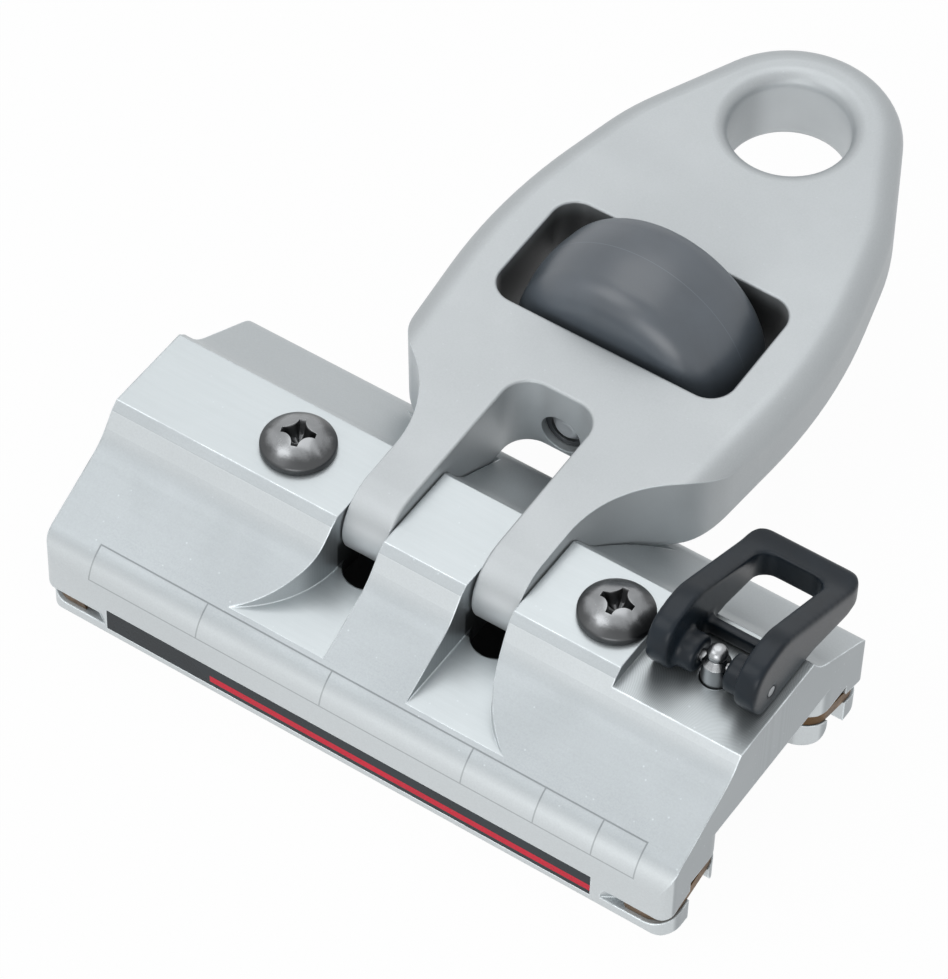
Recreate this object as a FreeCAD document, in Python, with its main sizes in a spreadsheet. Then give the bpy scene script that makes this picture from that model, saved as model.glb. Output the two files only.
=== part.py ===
import FreeCAD, Part
import math
import os
import Sketcher

# Track car for a mainsheet: a one-piece saddle that runs on balls along a rail, a swinging toggle
# arm with an eye and a roller, and a spring-loaded stop pin with a folding pull handle.
# X runs along the rail, +Y is the side that the toggle lies on, and Z = 0 is the underside of the
# legs. All lengths are in millimetres and all angles in degrees.

SIZES = {
    # saddle section
    "car_length": 133.0,
    "car_half_width": 33.15,
    "plateau_height": 33.45,
    "plateau_half": 9.5,
    "bevel_height": 32.0,
    "bevel_half": 11.1,
    "brow_height": 26.92,
    "brow_half": 14.73,
    "brow_radius": 12.0,
    "shoulder_height": 16.93,
    "shoulder_radius": 7.5,
    "foot_radius": 1.5,
    "channel_half": 14.5,
    "channel_height": 16.0,
    "channel_radius": 1.0,
    "corner_radius": 2.5,
    "mouth_radius": 5.5,
    # recess for the pull handle
    "recess_length": 26.0,
    "recess_floor": 30.7,
    # slots for the two legs of the toggle
    "block_half": 8.7,
    "slot_wall": 18.5,
    "slot_half_length": 11.55,
    "pocket_floor": 19.72,
    "pocket_straight": 9.0,
    "pocket_flare_radius": 22.4,
    "pocket_flare_turn": 60.0,
    # hinge
    "hinge_height": 27.9,
    "hinge_pin_radius": 4.0,
    "hinge_pin_margin": 4.9,
    "bush_wall": 1.0,
    "plug_length": 7.0,
    "press_clearance": 0.01,
    "running_clearance": 0.04,
    # retaining screws
    "screw_setback": 7.0,
    "screw_head_radius": 7.0,
    "screw_head_height": 4.2,
    "screw_crown_radius": 11.0,
    "screw_shank_radius": 3.0,
    "screw_length": 7.6,
    "recess_wing_half": 3.7,
    "recess_wing_width": 1.5,
    "recess_wing_depth": 2.6,
    "recess_taper": 12.0,
    # ball circuits in the legs
    "ball_radius": 2.5,
    "tunnel_clearance": 0.15,
    "ball_bury": 1.7,
    "ball_gap": 0.06,
    "circuit_tilt": 15.0,
    "turn_radius": 6.315,
    "turn_inset": 10.2,
    "outer_row_height": 5.66,
    "guide_thickness": 2.4,
    "guide_slot_play": 0.1,
    "guide_inset": 0.4,
    "guide_corner_radius": 5.0,
    "guide_outer_reach": 8.9,
    "guide_inner_reach": 6.2,
    "relief_height": 10.0,
    "relief_depth": 4.0,
    "foot_gap_near": 19.8,
    "foot_gap_far": 26.0,
    "foot_gap_depth": 5.5,
    "tab_bottom": 2.3,
    "tab_radius": 3.0,
    "lip_height": 4.4,
    "lip_radius": 5.0,
    "runout_length": 4.8,
    "runout_depth": 2.6,
    # colour strips along the sides
    "strip_start_inset": 14.1,
    "strip_end_inset": 15.7,
    "strip_bottom": 2.4,
    "strip_top": 7.5,
    "strip_thickness": 1.0,
    "strip_play": 0.05,
    # toggle arm, measured from the hinge axis along the arm
    "arm_thickness": 17.0,
    "arm_tilt": 2.6,
    "leg_inner": 9.0,
    "leg_outer": 18.2,
    "flare_start": 8.3,
    "flare_radius": 24.5,
    "flare_turn": 52.0,
    "heel_radius": 16.0,
    "heel_exit_angle": 8.0,
    "paddle_half_width": 37.0,
    "paddle_root_narrowing": 6.4,
    "paddle_flank_distance": 68.4,
    "paddle_flank_radius": 110.0,
    "paddle_taper_length": 32.6,
    "paddle_taper_narrowing": 7.8,
    "paddle_taper_radius": 50.0,
    "paddle_apex_margin": 48.3,
    "paddle_tip_radius": 21.1,
    "paddle_top_edge_radius": 5.2,
    "paddle_bottom_edge_radius": 4.5,
    "notch_end": 34.2,
    "notch_radius": 5.5,
    "window_half": 24.9,
    "window_near": 47.3,
    "window_far": 74.4,
    "window_radius": 5.0,
    "eye_distance": 112.1,
    "eye_radius": 11.6,
    "eye_edge_radius": 3.0,
    "edge_break": 0.5,
    # roller and its axle
    "roller_radius": 22.9,
    "roller_width": 23.6,
    "roller_drop": 3.3,
    "roller_crown_radius": 26.0,
    "roller_crown_slope": 10.0,
    "roller_shoulder_radius": 6.0,
    "axle_radius": 3.6,
    "axle_depth_in_far_web": 9.6,
    "axle_head_recess": 1.6,
    "axle_dome_radius": 3.0,
    "ring_thickness": 0.8,
    "ring_inner_radius": 3.15,
    "ring_outer_radius": 4.55,
    "counterbore_radius": 4.2,
    "roller_bush_wall": 1.2,
    "washer_radius": 7.5,
    "washer_play": 0.06,
    # stop pin
    "pin_offset": 0.3,
    "pin_hole_radius": 2.9,
    "pin_radius": 2.6,
    "pin_shoulder_height": 36.2,
    "pin_neck_radius": 1.5,
    "pin_head_radius": 1.9,
    "pin_head_height": 2.6,
    "pin_tip_height": 8.0,
    "pin_tip_radius": 2.9,
    "pin_guide_radius": 3.4,
    "pin_collar_radius": 4.3,
    "pin_collar_height": 2.0,
    "spring_bore_radius": 4.6,
    "spring_bore_top": 27.6,
    "pin_bush_height": 3.0,
    "spring_wire_radius": 0.4,
    "spring_radius": 3.7,
    "spring_turns": 5.0,
    # pull handle
    "handle_side_gap": 1.85,
    "handle_opening_half": 6.65,
    "handle_floor_clearance": 0.05,
    "cross_pin_height": 34.6,
    "cross_pin_radius": 1.0,
    "cross_pin_inset": 0.15,
    "boss_radius": 3.6,
    "boss_gap": 0.3,
    "ear_front": 6.6,
    "ear_top": 44.6,
    "handle_far_end": 32.3,
    "handle_far_top": 34.2,
    "handle_bar_start": 26.0,
    "handle_bar_width": 4.8,
    "handle_bar_height": 5.8,
    "handle_corner_radius": 4.5,
    "handle_bridge_start": 7.2,
    "handle_bridge_end": 9.2,
    "handle_bridge_top": 34.2,
}


class Size:
    """A length or angle that keeps its formula, so that what is made from it stays bound."""

    def __init__(self, formula, value):
        self.formula = formula
        self.value = value

    def __add__(self, other):
        return Size(f"({self.formula} + {formula(other)})", self.value + value(other))

    def __radd__(self, other):
        return Size(f"({formula(other)} + {self.formula})", value(other) + self.value)

    def __sub__(self, other):
        return Size(f"({self.formula} - {formula(other)})", self.value - value(other))

    def __rsub__(self, other):
        return Size(f"({formula(other)} - {self.formula})", value(other) - self.value)

    def __mul__(self, other):
        return Size(f"({self.formula} * {formula(other)})", self.value * value(other))

    def __rmul__(self, other):
        return Size(f"({formula(other)} * {self.formula})", value(other) * self.value)

    def __truediv__(self, other):
        return Size(f"({self.formula} / {formula(other)})", self.value / value(other))

    def __rtruediv__(self, other):
        return Size(f"({formula(other)} / {self.formula})", value(other) / self.value)

    def __neg__(self):
        return Size(f"(-1 * {self.formula})", -self.value)


def formula(size):
    """The text that binds a property to a size."""
    return size.formula if isinstance(size, Size) else repr(float(size))


def value(size):
    """The number that a size stands for."""
    return size.value if isinstance(size, Size) else float(size)


def sine(angle):
    return Size(f"sin({formula(angle)} * 1deg)", math.sin(math.radians(value(angle))))


def cosine(angle):
    return Size(f"cos({formula(angle)} * 1deg)", math.cos(math.radians(value(angle))))


def tangent(angle):
    return Size(f"tan({formula(angle)} * 1deg)", math.tan(math.radians(value(angle))))


def bind(thing, path, size):
    """Ties one property of an object to a size."""
    thing.setExpression(path, formula(size))


doc = FreeCAD.newDocument("TrackCar")
sheet = doc.addObject("Spreadsheet::Sheet", "Sizes")
for row, (name, number) in enumerate(SIZES.items(), start=1):
    sheet.set(f"A{row}", name)
    sheet.set(f"B{row}", str(number))
    sheet.setAlias(f"B{row}", name)
doc.recompute()


def size(name):
    """A cell of the sheet, as a size."""
    return Size(f"Sizes.{name}", float(getattr(sheet, name)))


# Places that several pieces share.
half_length = size("car_length") / 2
half_width = size("car_half_width")
channel_half = size("channel_half")
hinge_height = size("hinge_height")
tunnel_radius = size("ball_radius") + size("tunnel_clearance")
inner_row = channel_half + size("ball_bury")
circuit_middle = inner_row + size("turn_radius") * cosine(size("circuit_tilt"))
outer_row = circuit_middle + size("turn_radius") * cosine(size("circuit_tilt"))
circuit_height = size("outer_row_height") + size("turn_radius") * sine(size("circuit_tilt"))
inner_row_height = circuit_height + size("turn_radius") * sine(size("circuit_tilt"))
turn_centre = half_length - size("turn_inset")
half_thickness = size("arm_thickness") / 2
roller_centre = (size("window_near") + size("window_far")) / 2
screw_place = half_length - size("recess_length") - size("screw_setback")
hinge_pin_half = screw_place + size("hinge_pin_margin")
pin_distance = half_length - size("recess_length") / 2 + size("pin_offset")
handle_half_width = size("recess_length") / 2 - size("handle_side_gap")
strip_start = size("strip_start_inset") - half_length
strip_end = half_length - size("strip_end_inset")
beyond = 20.0


def new_body(name):
    body = doc.addObject("PartDesign::Body", name)
    body.Label = name
    return body


def origin_plane(body, role):
    return [f for f in body.Origin.OriginFeatures if f.Role == role][0]


def sketch_on(body, plane, name, offset=0.0):
    """A sketch on one of the body's own planes, moved along that plane's normal."""
    sketch = body.newObject("Sketcher::SketchObject", name)
    sketch.AttachmentSupport = [(origin_plane(body, plane), "")]
    sketch.MapMode = "FlatFace"
    bind(sketch, "AttachmentOffset.Base.z", offset)
    return sketch


def fix_point(sketch, geometry, end, u, v):
    """Holds a point of the sketch at two sizes."""
    for kind, place in (("DistanceX", u), ("DistanceY", v)):
        number = sketch.addConstraint(Sketcher.Constraint(kind, geometry, end, value(place)))
        bind(sketch, f"Constraints[{number}]", place)


def outline(sketch, corners):
    """A closed outline of straight sides; a corner's third number is its rounding radius."""
    count = len(corners)
    points = [FreeCAD.Vector(value(c[0]), value(c[1]), 0) for c in corners]
    leave, arrive, arcs = [], [], {}
    for i, corner in enumerate(corners):
        here = points[i]
        if len(corner) == 2:
            leave.append(here)
            arrive.append(here)
            continue
        radius = value(corner[2])
        back = (points[i - 1] - here).normalize()
        ahead = (points[(i + 1) % count] - here).normalize()
        half_angle = back.getAngle(ahead) / 2
        run = radius / math.tan(half_angle)
        arrive.append(here + back * run)
        leave.append(here + ahead * run)
        centre = here + (back + ahead).normalize() * (radius / math.sin(half_angle))
        turns_left = back.cross(ahead).z < 0
        first, last = (arrive[i], leave[i]) if turns_left else (leave[i], arrive[i])
        start = math.atan2(first.y - centre.y, first.x - centre.x)
        stop = math.atan2(last.y - centre.y, last.x - centre.x)
        if stop < start:
            stop += 2 * math.pi
        arcs[i] = (centre, radius, start, stop, turns_left)
    sides = []
    for i in range(count):
        line = Part.LineSegment(leave[i], arrive[(i + 1) % count])
        sides.append(sketch.addGeometry(line, False))
    for i, corner in enumerate(corners):
        before, after = sides[i - 1], sides[i]
        if i not in arcs:
            sketch.addConstraint(Sketcher.Constraint("Coincident", before, 2, after, 1))
            fix_point(sketch, after, 1, corner[0], corner[1])
            continue
        centre, radius, start, stop, turns_left = arcs[i]
        circle = Part.Circle(centre, FreeCAD.Vector(0, 0, 1), radius)
        arc = sketch.addGeometry(Part.ArcOfCircle(circle, start, stop), False)
        apex = sketch.addGeometry(Part.Point(points[i]), True)
        arc_in, arc_out = (1, 2) if turns_left else (2, 1)
        fix_point(sketch, apex, 1, corner[0], corner[1])
        sketch.addConstraint(Sketcher.Constraint("PointOnObject", apex, 1, before))
        sketch.addConstraint(Sketcher.Constraint("PointOnObject", apex, 1, after))
        sketch.addConstraint(Sketcher.Constraint("Tangent", before, 2, arc, arc_in))
        sketch.addConstraint(Sketcher.Constraint("Tangent", after, 1, arc, arc_out))
        number = sketch.addConstraint(Sketcher.Constraint("Radius", arc, radius))
        bind(sketch, f"Constraints[{number}]", corner[2])


def box_outline(sketch, u_low, u_high, v_low, v_high):
    outline(sketch, [(u_low, v_low), (u_high, v_low), (u_high, v_high), (u_low, v_high)])


def circle(sketch, u, v, radius):
    centre = FreeCAD.Vector(value(u), value(v), 0)
    ring = sketch.addGeometry(Part.Circle(centre, FreeCAD.Vector(0, 0, 1), value(radius)), False)
    fix_point(sketch, ring, 3, u, v)
    number = sketch.addConstraint(Sketcher.Constraint("Radius", ring, value(radius)))
    bind(sketch, f"Constraints[{number}]", radius)


def grow(body, kind, sketch, length, reverse=False):
    """A Pad or a Pocket of the given length."""
    feature = body.newObject(f"PartDesign::{kind}", f"{sketch.Name}_{kind.lower()}")
    feature.Profile = sketch
    feature.Reversed = reverse
    bind(feature, "Length", length)
    doc.recompute()
    return feature


def pad(body, sketch, length, reverse=False):
    return grow(body, "Pad", sketch, length, reverse)


def pocket(body, sketch, length, reverse=False):
    return grow(body, "Pocket", sketch, length, reverse)


def turn(body, sketch, axis="V_Axis"):
    """A solid of revolution about one of the sketch's own axes."""
    feature = body.newObject("PartDesign::Revolution", f"{sketch.Name}_turned")
    feature.Profile = sketch
    feature.ReferenceAxis = (sketch, [axis])
    feature.Angle = 360
    doc.recompute()
    return feature


def edges_where(shape, test):
    """Names of the edges whose ends and middle all pass the test."""
    found = []
    for number, edge in enumerate(shape.Edges, start=1):
        first, last = edge.ParameterRange
        samples = [edge.valueAt(first + (last - first) * part) for part in (0.0, 0.5, 1.0)]
        if all(test(point) for point in samples):
            found.append(f"Edge{number}")
    return found


def soften(body, kind, name, radius, test):
    """A Fillet or a Chamfer along the edges that pass the test."""
    base = body.Tip
    edges = edges_where(base.Shape, test)
    feature = body.newObject(f"PartDesign::{kind}", name)
    feature.Base = (base, edges)
    bind(feature, "Radius" if kind == "Fillet" else "Size", radius)
    doc.recompute()
    return feature


def near(a, b, tolerance=0.02):
    return abs(a - value(b)) < tolerance


def cylinder(name, radius, length, axis, start):
    """A round bar along X, Y or Z whose near end is at the point start."""
    bar = doc.addObject("Part::Cylinder", name)
    bind(bar, "Radius", radius)
    bind(bar, "Height", length)
    turns = {
        "X": FreeCAD.Rotation(FreeCAD.Vector(0, 1, 0), 90),
        "Y": FreeCAD.Rotation(FreeCAD.Vector(1, 0, 0), -90),
        "Z": FreeCAD.Rotation(),
    }
    bar.Placement = FreeCAD.Placement(FreeCAD.Vector(), turns[axis])
    for letter, place in zip("xyz", start):
        bind(bar, f"Placement.Base.{letter}", place)
    return bar


def cut(name, base, tools):
    """What is left of the base when the tools are taken from it."""
    if len(tools) == 1:
        tool = tools[0]
    else:
        tool = doc.addObject("Part::MultiFuse", f"{name}_tools")
        tool.Shapes = tools
    result = doc.addObject("Part::Cut", name)
    result.Base = base
    result.Tool = tool
    result.Label = name
    return result


def lay_on_arm(thing):
    """Places a piece made about the hinge axis on the tilted arm."""
    thing.Placement = FreeCAD.Placement(FreeCAD.Vector(), FreeCAD.Rotation(FreeCAD.Vector(1, 0, 0), 1))
    bind(thing, "Placement.Base.z", hinge_height)
    bind(thing, "Placement.Rotation.Angle", size("arm_tilt"))


def tilt_to_circuit(sketch, side, end, height):
    """Turns a sketch into the plane of one ball turn, with its own zero at the turn's centre."""
    turned = FreeCAD.Rotation(FreeCAD.Vector(-side, 0, 0), 1)
    sketch.AttachmentOffset = FreeCAD.Placement(FreeCAD.Vector(), turned)
    tilt = size("circuit_tilt")
    bind(sketch, "AttachmentOffset.Rotation.Angle", tilt)
    bind(sketch, "AttachmentOffset.Base.x", end * turn_centre)
    bind(sketch, "AttachmentOffset.Base.y", side * (circuit_middle + height * sine(tilt)))
    bind(sketch, "AttachmentOffset.Base.z", circuit_height + height * cosine(tilt))


def make_car_body():
    """The saddle: one extruded and machined piece of aluminium."""
    body = new_body("car_body")
    section = sketch_on(body, "YZ_Plane", "saddle_section", -half_length)
    right = [
        (channel_half, 0.0),
        (half_width, 0.0, size("foot_radius")),
        (half_width, size("shoulder_height"), size("shoulder_radius")),
        (size("brow_half"), size("brow_height"), size("brow_radius")),
        (size("bevel_half"), size("bevel_height")),
        (size("plateau_half"), size("plateau_height")),
    ]
    left = [(-corner[0],) + corner[1:] for corner in reversed(right)]
    roof = [
        (-channel_half, size("channel_height"), size("channel_radius")),
        (channel_half, size("channel_height"), size("channel_radius")),
    ]
    outline(section, right + left + roof)
    pad(body, section, size("car_length"))

    corners = sketch_on(body, "XY_Plane", "saddle_corners", size("plateau_height") + beyond)
    far_x = half_length + beyond
    far_y = half_width + beyond
    box_outline(corners, -far_x, far_x, -far_y, far_y)
    radius = size("corner_radius")
    outline(corners, [
        (-half_length, -half_width, radius),
        (half_length, -half_width, radius),
        (half_length, half_width, radius),
        (-half_length, half_width, radius),
    ])
    pocket(body, corners, size("plateau_height") + 2 * beyond)

    for end in (-1, 1):
        mouth = sketch_on(body, "XY_Plane", f"channel_mouth_{end + 1}", size("channel_height"))
        radius = size("mouth_radius")
        inside = end * (half_length - 2 * radius)
        face = end * half_length
        outside = end * (half_length + beyond)
        flank = channel_half + 1.2 * radius
        outline(mouth, [
            (inside, -channel_half),
            (face, -channel_half, radius),
            (face, -flank),
            (outside, -flank),
            (outside, flank),
            (face, flank),
            (face, channel_half, radius),
            (inside, channel_half),
        ])
        pocket(body, mouth, size("channel_height") + beyond)

    recess = sketch_on(body, "XY_Plane", "handle_recess", size("recess_floor"))
    box_outline(recess, half_length - size("recess_length"), half_length + beyond, -beyond, beyond)
    pocket(body, recess, beyond, reverse=True)

    slots = sketch_on(body, "XY_Plane", "leg_slots", size("plateau_height"))
    radius = (size("slot_wall") - size("block_half")) / 2 - 0.001
    reach = size("slot_half_length")
    for side in (-1, 1):
        outline(slots, [
            (side * size("block_half"), -reach, radius),
            (side * size("slot_wall"), -reach, radius),
            (side * size("slot_wall"), reach, radius),
            (side * size("block_half"), reach, radius),
        ])
    pocket(body, slots, size("plateau_height"))

    pockets = sketch_on(body, "XY_Plane", "leg_pockets", size("pocket_floor"))
    radius = size("pocket_flare_radius")
    turn_angle = size("pocket_flare_turn")
    flare = size("pocket_straight") + radius * tangent(turn_angle / 2)
    far = half_width + beyond
    wide = size("slot_wall") + (far - flare) * tangent(turn_angle)
    for side in (-1, 1):
        outline(pockets, [
            (side * size("block_half"), -far),
            (side * wide, -far),
            (side * size("slot_wall"), -flare, radius),
            (side * size("slot_wall"), flare, radius),
            (side * wide, far),
            (side * size("block_half"), far),
        ])
    pocket(body, pockets, beyond, reverse=True)

    bore = sketch_on(body, "YZ_Plane", "hinge_bore", hinge_pin_half)
    circle(bore, 0.0, hinge_height, size("hinge_pin_radius") + size("press_clearance"))
    pocket(body, bore, hinge_pin_half + half_length + beyond)

    screws = sketch_on(body, "XY_Plane", "screw_holes", size("plateau_height"))
    for side in (-1, 1):
        hole_radius = size("screw_shank_radius") + size("press_clearance")
        circle(screws, side * screw_place, 0.0, hole_radius)
    pocket(body, screws, size("screw_length") + 1.0)

    pin_hole = sketch_on(body, "XY_Plane", "stop_pin_hole", size("plateau_height"))
    circle(pin_hole, pin_distance, 0.0, size("pin_hole_radius"))
    pocket(body, pin_hole, size("plateau_height"))
    spring_bore = sketch_on(body, "XY_Plane", "spring_bore", size("spring_bore_top"))
    circle(spring_bore, pin_distance, 0.0, size("spring_bore_radius"))
    pocket(body, spring_bore, size("spring_bore_top"))

    side, end = -1, -1
    rows = sketch_on(body, "YZ_Plane", "ball_rows", turn_centre)
    circle(rows, side * inner_row, inner_row_height, tunnel_radius)
    circle(rows, side * outer_row, size("outer_row_height"), tunnel_radius)
    row_holes = pocket(body, rows, 2 * turn_centre)
    strip = sketch_on(body, "XZ_Plane", "strip_groove", -side * half_width)
    box_outline(strip, strip_start, strip_end, size("strip_bottom"), size("strip_top"))
    strip_groove = pocket(body, strip, size("strip_thickness") + size("strip_play"))
    repeat_in_mirror(body, "second_leg", [row_holes, strip_groove], ["XZ_Plane"])
    corner_cuts = [
        cut_ball_turn(body, side, end),
        cut_guide_slot(body, side, end),
        cut_guide_relief(body, side, end),
        cut_foot_gap(body, side, end),
        cut_lip_corner(body, side, end),
    ]
    repeat_in_mirror(body, "other_corners", corner_cuts, ["XZ_Plane", "YZ_Plane"])
    return body


def repeat_in_mirror(body, name, features, planes):
    """Repeats features on the other side of one origin plane, or of two in turn."""
    if len(planes) == 1:
        mirror = body.newObject("PartDesign::Mirrored", name)
        mirror.Originals = features
        mirror.MirrorPlane = (origin_plane(body, planes[0]), [""])
        body.Tip = mirror
        doc.recompute()
        return
    group = body.newObject("PartDesign::MultiTransform", name)
    group.Originals = features
    steps = []
    for plane in planes:
        step = body.newObject("PartDesign::Mirrored", f"{name}_{plane[:2].lower()}")
        step.MirrorPlane = (origin_plane(body, plane), [""])
        steps.append(step)
    group.Transformations = steps
    body.Tip = group
    doc.recompute()


def cut_ball_turn(body, side, end):
    """The half ring that joins the two ball rows at one end of a leg."""
    tilt = size("circuit_tilt")
    ring = sketch_on(body, "YZ_Plane", "ball_turn", end * turn_centre)
    circle(ring, side * outer_row, size("outer_row_height"), tunnel_radius)
    foot = FreeCAD.Vector(side * value(circuit_middle), value(circuit_height), 0)
    lean = FreeCAD.Vector(side * value(sine(tilt)), value(cosine(tilt)), 0)
    axis_length = 10.0
    axis = ring.addGeometry(Part.LineSegment(foot, foot + lean * axis_length), True)
    fix_point(ring, axis, 1, side * circuit_middle, circuit_height)
    top_y = side * (circuit_middle + axis_length * sine(tilt))
    fix_point(ring, axis, 2, top_y, circuit_height + axis_length * cosine(tilt))
    groove = body.newObject("PartDesign::Groove", "ball_turn_groove")
    groove.Profile = ring
    groove.ReferenceAxis = (ring, ["Axis0"])
    groove.Angle = 180
    groove.Reversed = side * end > 0
    doc.recompute()
    return groove


def cut_guide_slot(body, side, end):
    """The tilted slot that the ball guide slides into, with the cutter's run-out on the outer side."""
    thickness = size("guide_thickness") + 2 * size("guide_slot_play")
    slot = sketch_on(body, "XY_Plane", "guide_slot")
    tilt_to_circuit(slot, side, end, thickness / 2)
    reach = half_length - turn_centre
    far_side = side * (half_width - circuit_middle + beyond)
    near_side = side * (channel_half - circuit_middle - 3.0)
    face = (half_width - circuit_middle) / cosine(size("circuit_tilt"))
    run_in = reach - size("guide_outer_reach") + size("guide_slot_play")
    run_out = run_in - size("runout_length")
    inner_start = reach - size("guide_inner_reach")
    outline(slot, [
        (end * run_out, side * face),
        (end * run_out, far_side),
        (end * (reach + beyond), far_side),
        (end * (reach + beyond), near_side),
        (end * inner_start, near_side),
        (end * inner_start, 0.0),
        (end * run_in, 0.0),
        (end * run_in, side * (face - size("runout_depth"))),
    ])
    return pocket(body, slot, thickness)


def cut_guide_relief(body, side, end):
    """The open wedge above the guide on the end face."""
    depth_plane = end * (half_length - size("relief_depth"))
    relief = sketch_on(body, "YZ_Plane", "guide_relief", depth_plane)
    drop = size("foot_gap_far") - inner_row
    inside = side * (channel_half - 3.0)
    outline(relief, [
        (inside, inner_row_height),
        (side * size("foot_gap_far"), inner_row_height - drop * tangent(size("circuit_tilt"))),
        (side * size("foot_gap_far"), size("relief_height")),
        (inside, size("relief_height")),
    ])
    return pocket(body, relief, beyond, reverse=(end > 0))


def cut_foot_gap(body, side, end):
    """The open gap below the guide, between the outer lip and the inner tab of a leg."""
    gap = sketch_on(body, "YZ_Plane", "foot_gap", end * (half_length - size("foot_gap_depth")))
    inside = side * (channel_half - 3.0)
    outline(gap, [
        (inside, -beyond),
        (side * size("foot_gap_far"), -beyond),
        (side * size("foot_gap_far"), circuit_height),
        (side * size("foot_gap_near"), circuit_height),
        (side * size("foot_gap_near"), size("tab_bottom"), size("tab_radius")),
        (inside, size("tab_bottom")),
    ])
    return pocket(body, gap, beyond, reverse=(end > 0))


def cut_lip_corner(body, side, end):
    """The wider rounding of the outer lip below the guide."""
    corner = sketch_on(body, "XY_Plane", "lip_corner", size("lip_height"))
    radius = size("lip_radius")
    face_x, face_y = end * half_length, side * half_width
    outline(corner, [
        (face_x - end * 2 * radius, face_y),
        (face_x, face_y, radius),
        (face_x, face_y - side * 2 * radius),
        (face_x + end * radius, face_y - side * 2 * radius),
        (face_x + end * radius, face_y + side * radius),
        (face_x - end * 2 * radius, face_y + side * radius),
    ])
    return pocket(body, corner, size("lip_height") + beyond)


def make_ball_guide(name, side, end):
    """The bronze guide that turns the balls from one row into the other."""
    body = new_body(name)
    plan = sketch_on(body, "XY_Plane", f"{name}_plan")
    tilt_to_circuit(plan, side, end, -size("guide_thickness") / 2)
    reach = half_length - turn_centre
    inset = size("guide_inset")
    tilt = size("circuit_tilt")
    outer = (half_width - inset - circuit_middle) / cosine(tilt)
    inner = (channel_half + inset - circuit_middle) / cosine(tilt)
    outline(plan, [
        (end * (reach - size("guide_outer_reach")), side * outer),
        (end * (reach - inset), side * outer, size("guide_corner_radius")),
        (end * (reach - inset), side * inner, size("mouth_radius")),
        (end * (reach - size("guide_inner_reach") + inset), side * inner),
        (end * (reach - size("guide_inner_reach") + inset), 0.0),
        (end * (reach - size("guide_outer_reach")), 0.0),
    ])
    pad(body, plan, size("guide_thickness"))
    race = sketch_on(body, "XY_Plane", f"{name}_race")
    tilt_to_circuit(race, side, end, size("guide_thickness") / 2)
    circle(race, 0.0, 0.0, size("turn_radius") + size("ball_radius") + 0.12)
    pocket(body, race, size("guide_thickness"))
    return body


def make_bearing_balls(name, side):
    """One full circuit of steel balls, at even spacing."""
    ball = value(size("ball_radius"))
    radius = value(size("turn_radius"))
    half_row = value(turn_centre)
    tilt = math.radians(value(size("circuit_tilt")))
    row = 2 * half_row
    bend = math.pi * radius
    around = 2 * (row + bend)
    count = int(around // (2 * ball + value(size("ball_gap"))))
    balls = []
    for i in range(count):
        along = around * i / count
        if along < row:
            x, across = along - half_row, radius
        elif along < row + bend:
            angle = (along - row) / radius
            x, across = half_row + radius * math.sin(angle), radius * math.cos(angle)
        elif along < 2 * row + bend:
            x, across = half_row - (along - row - bend), -radius
        else:
            angle = (along - 2 * row - bend) / radius
            x, across = -half_row - radius * math.sin(angle), -radius * math.cos(angle)
        y = value(circuit_middle) + across * math.cos(tilt)
        z = value(circuit_height) - across * math.sin(tilt)
        balls.append(Part.makeSphere(ball, FreeCAD.Vector(x, side * y, z)))
    group = doc.addObject("Part::Feature", name)
    group.Label = name
    group.Shape = Part.makeCompound(balls)
    group.Placement = FreeCAD.Placement()
    return group


def make_side_strip(name, side):
    """The flat black strip let into one side."""
    strip = doc.addObject("Part::Box", name)
    strip.Label = name
    play = size("strip_play")
    bind(strip, "Length", strip_end - strip_start - 2 * play)
    bind(strip, "Width", size("strip_thickness"))
    bind(strip, "Height", size("strip_top") - size("strip_bottom") - 2 * play)
    bind(strip, "Placement.Base.x", strip_start + play)
    low = -half_width if side < 0 else half_width - size("strip_thickness")
    bind(strip, "Placement.Base.y", low)
    bind(strip, "Placement.Base.z", size("strip_bottom") + play)
    return strip


def make_retaining_screw(name, side):
    """A pan-head cross-recess screw that locks the hinge pin."""
    body = new_body(name)
    profile = sketch_on(body, "XZ_Plane", f"{name}_profile")
    head = size("screw_head_radius")
    rise = size("screw_head_height")
    shank = size("screw_shank_radius")
    outline(profile, [
        (0.0, -size("screw_length")),
        (shank - 0.8, -size("screw_length")),
        (shank, 0.8 - size("screw_length")),
        (shank, 0.0),
        (head, 0.0),
        (head, 0.62 * rise, 1.4),
        (0.38 * head, rise, size("screw_crown_radius")),
        (0.0, rise),
    ])
    turn(body, profile)
    wings = sketch_on(body, "XY_Plane", f"{name}_recess", rise)
    arm = size("recess_wing_half")
    thin = size("recess_wing_width") / 2
    outline(wings, [
        (thin, -arm), (thin, -thin), (arm, -thin), (arm, thin), (thin, thin), (thin, arm),
        (-thin, arm), (-thin, thin), (-arm, thin), (-arm, -thin), (-thin, -thin), (-thin, -arm),
    ])
    cross = pocket(body, wings, size("recess_wing_depth"))
    bind(cross, "TaperAngle", -size("recess_taper"))
    bind(body, "Placement.Base.x", side * screw_place)
    bind(body, "Placement.Base.z", size("plateau_height"))
    return body


def make_hinge_pin():
    """The steel pin through both legs of the toggle, cross-drilled for the two screws."""
    half = hinge_pin_half
    bar = cylinder("hinge_pin_bar", size("hinge_pin_radius"), 2 * half, "X", (-half, 0.0, hinge_height))
    holes = []
    for side, name in ((-1, "left"), (1, "right")):
        radius = size("screw_shank_radius") + 0.1
        start = (side * screw_place, 0.0, hinge_height - size("hinge_pin_radius") - 1.0)
        length = 2 * size("hinge_pin_radius") + 2.0
        holes.append(cylinder(f"hinge_pin_hole_{name}", radius, length, "Z", start))
    return cut("hinge_pin", bar, holes)


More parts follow.
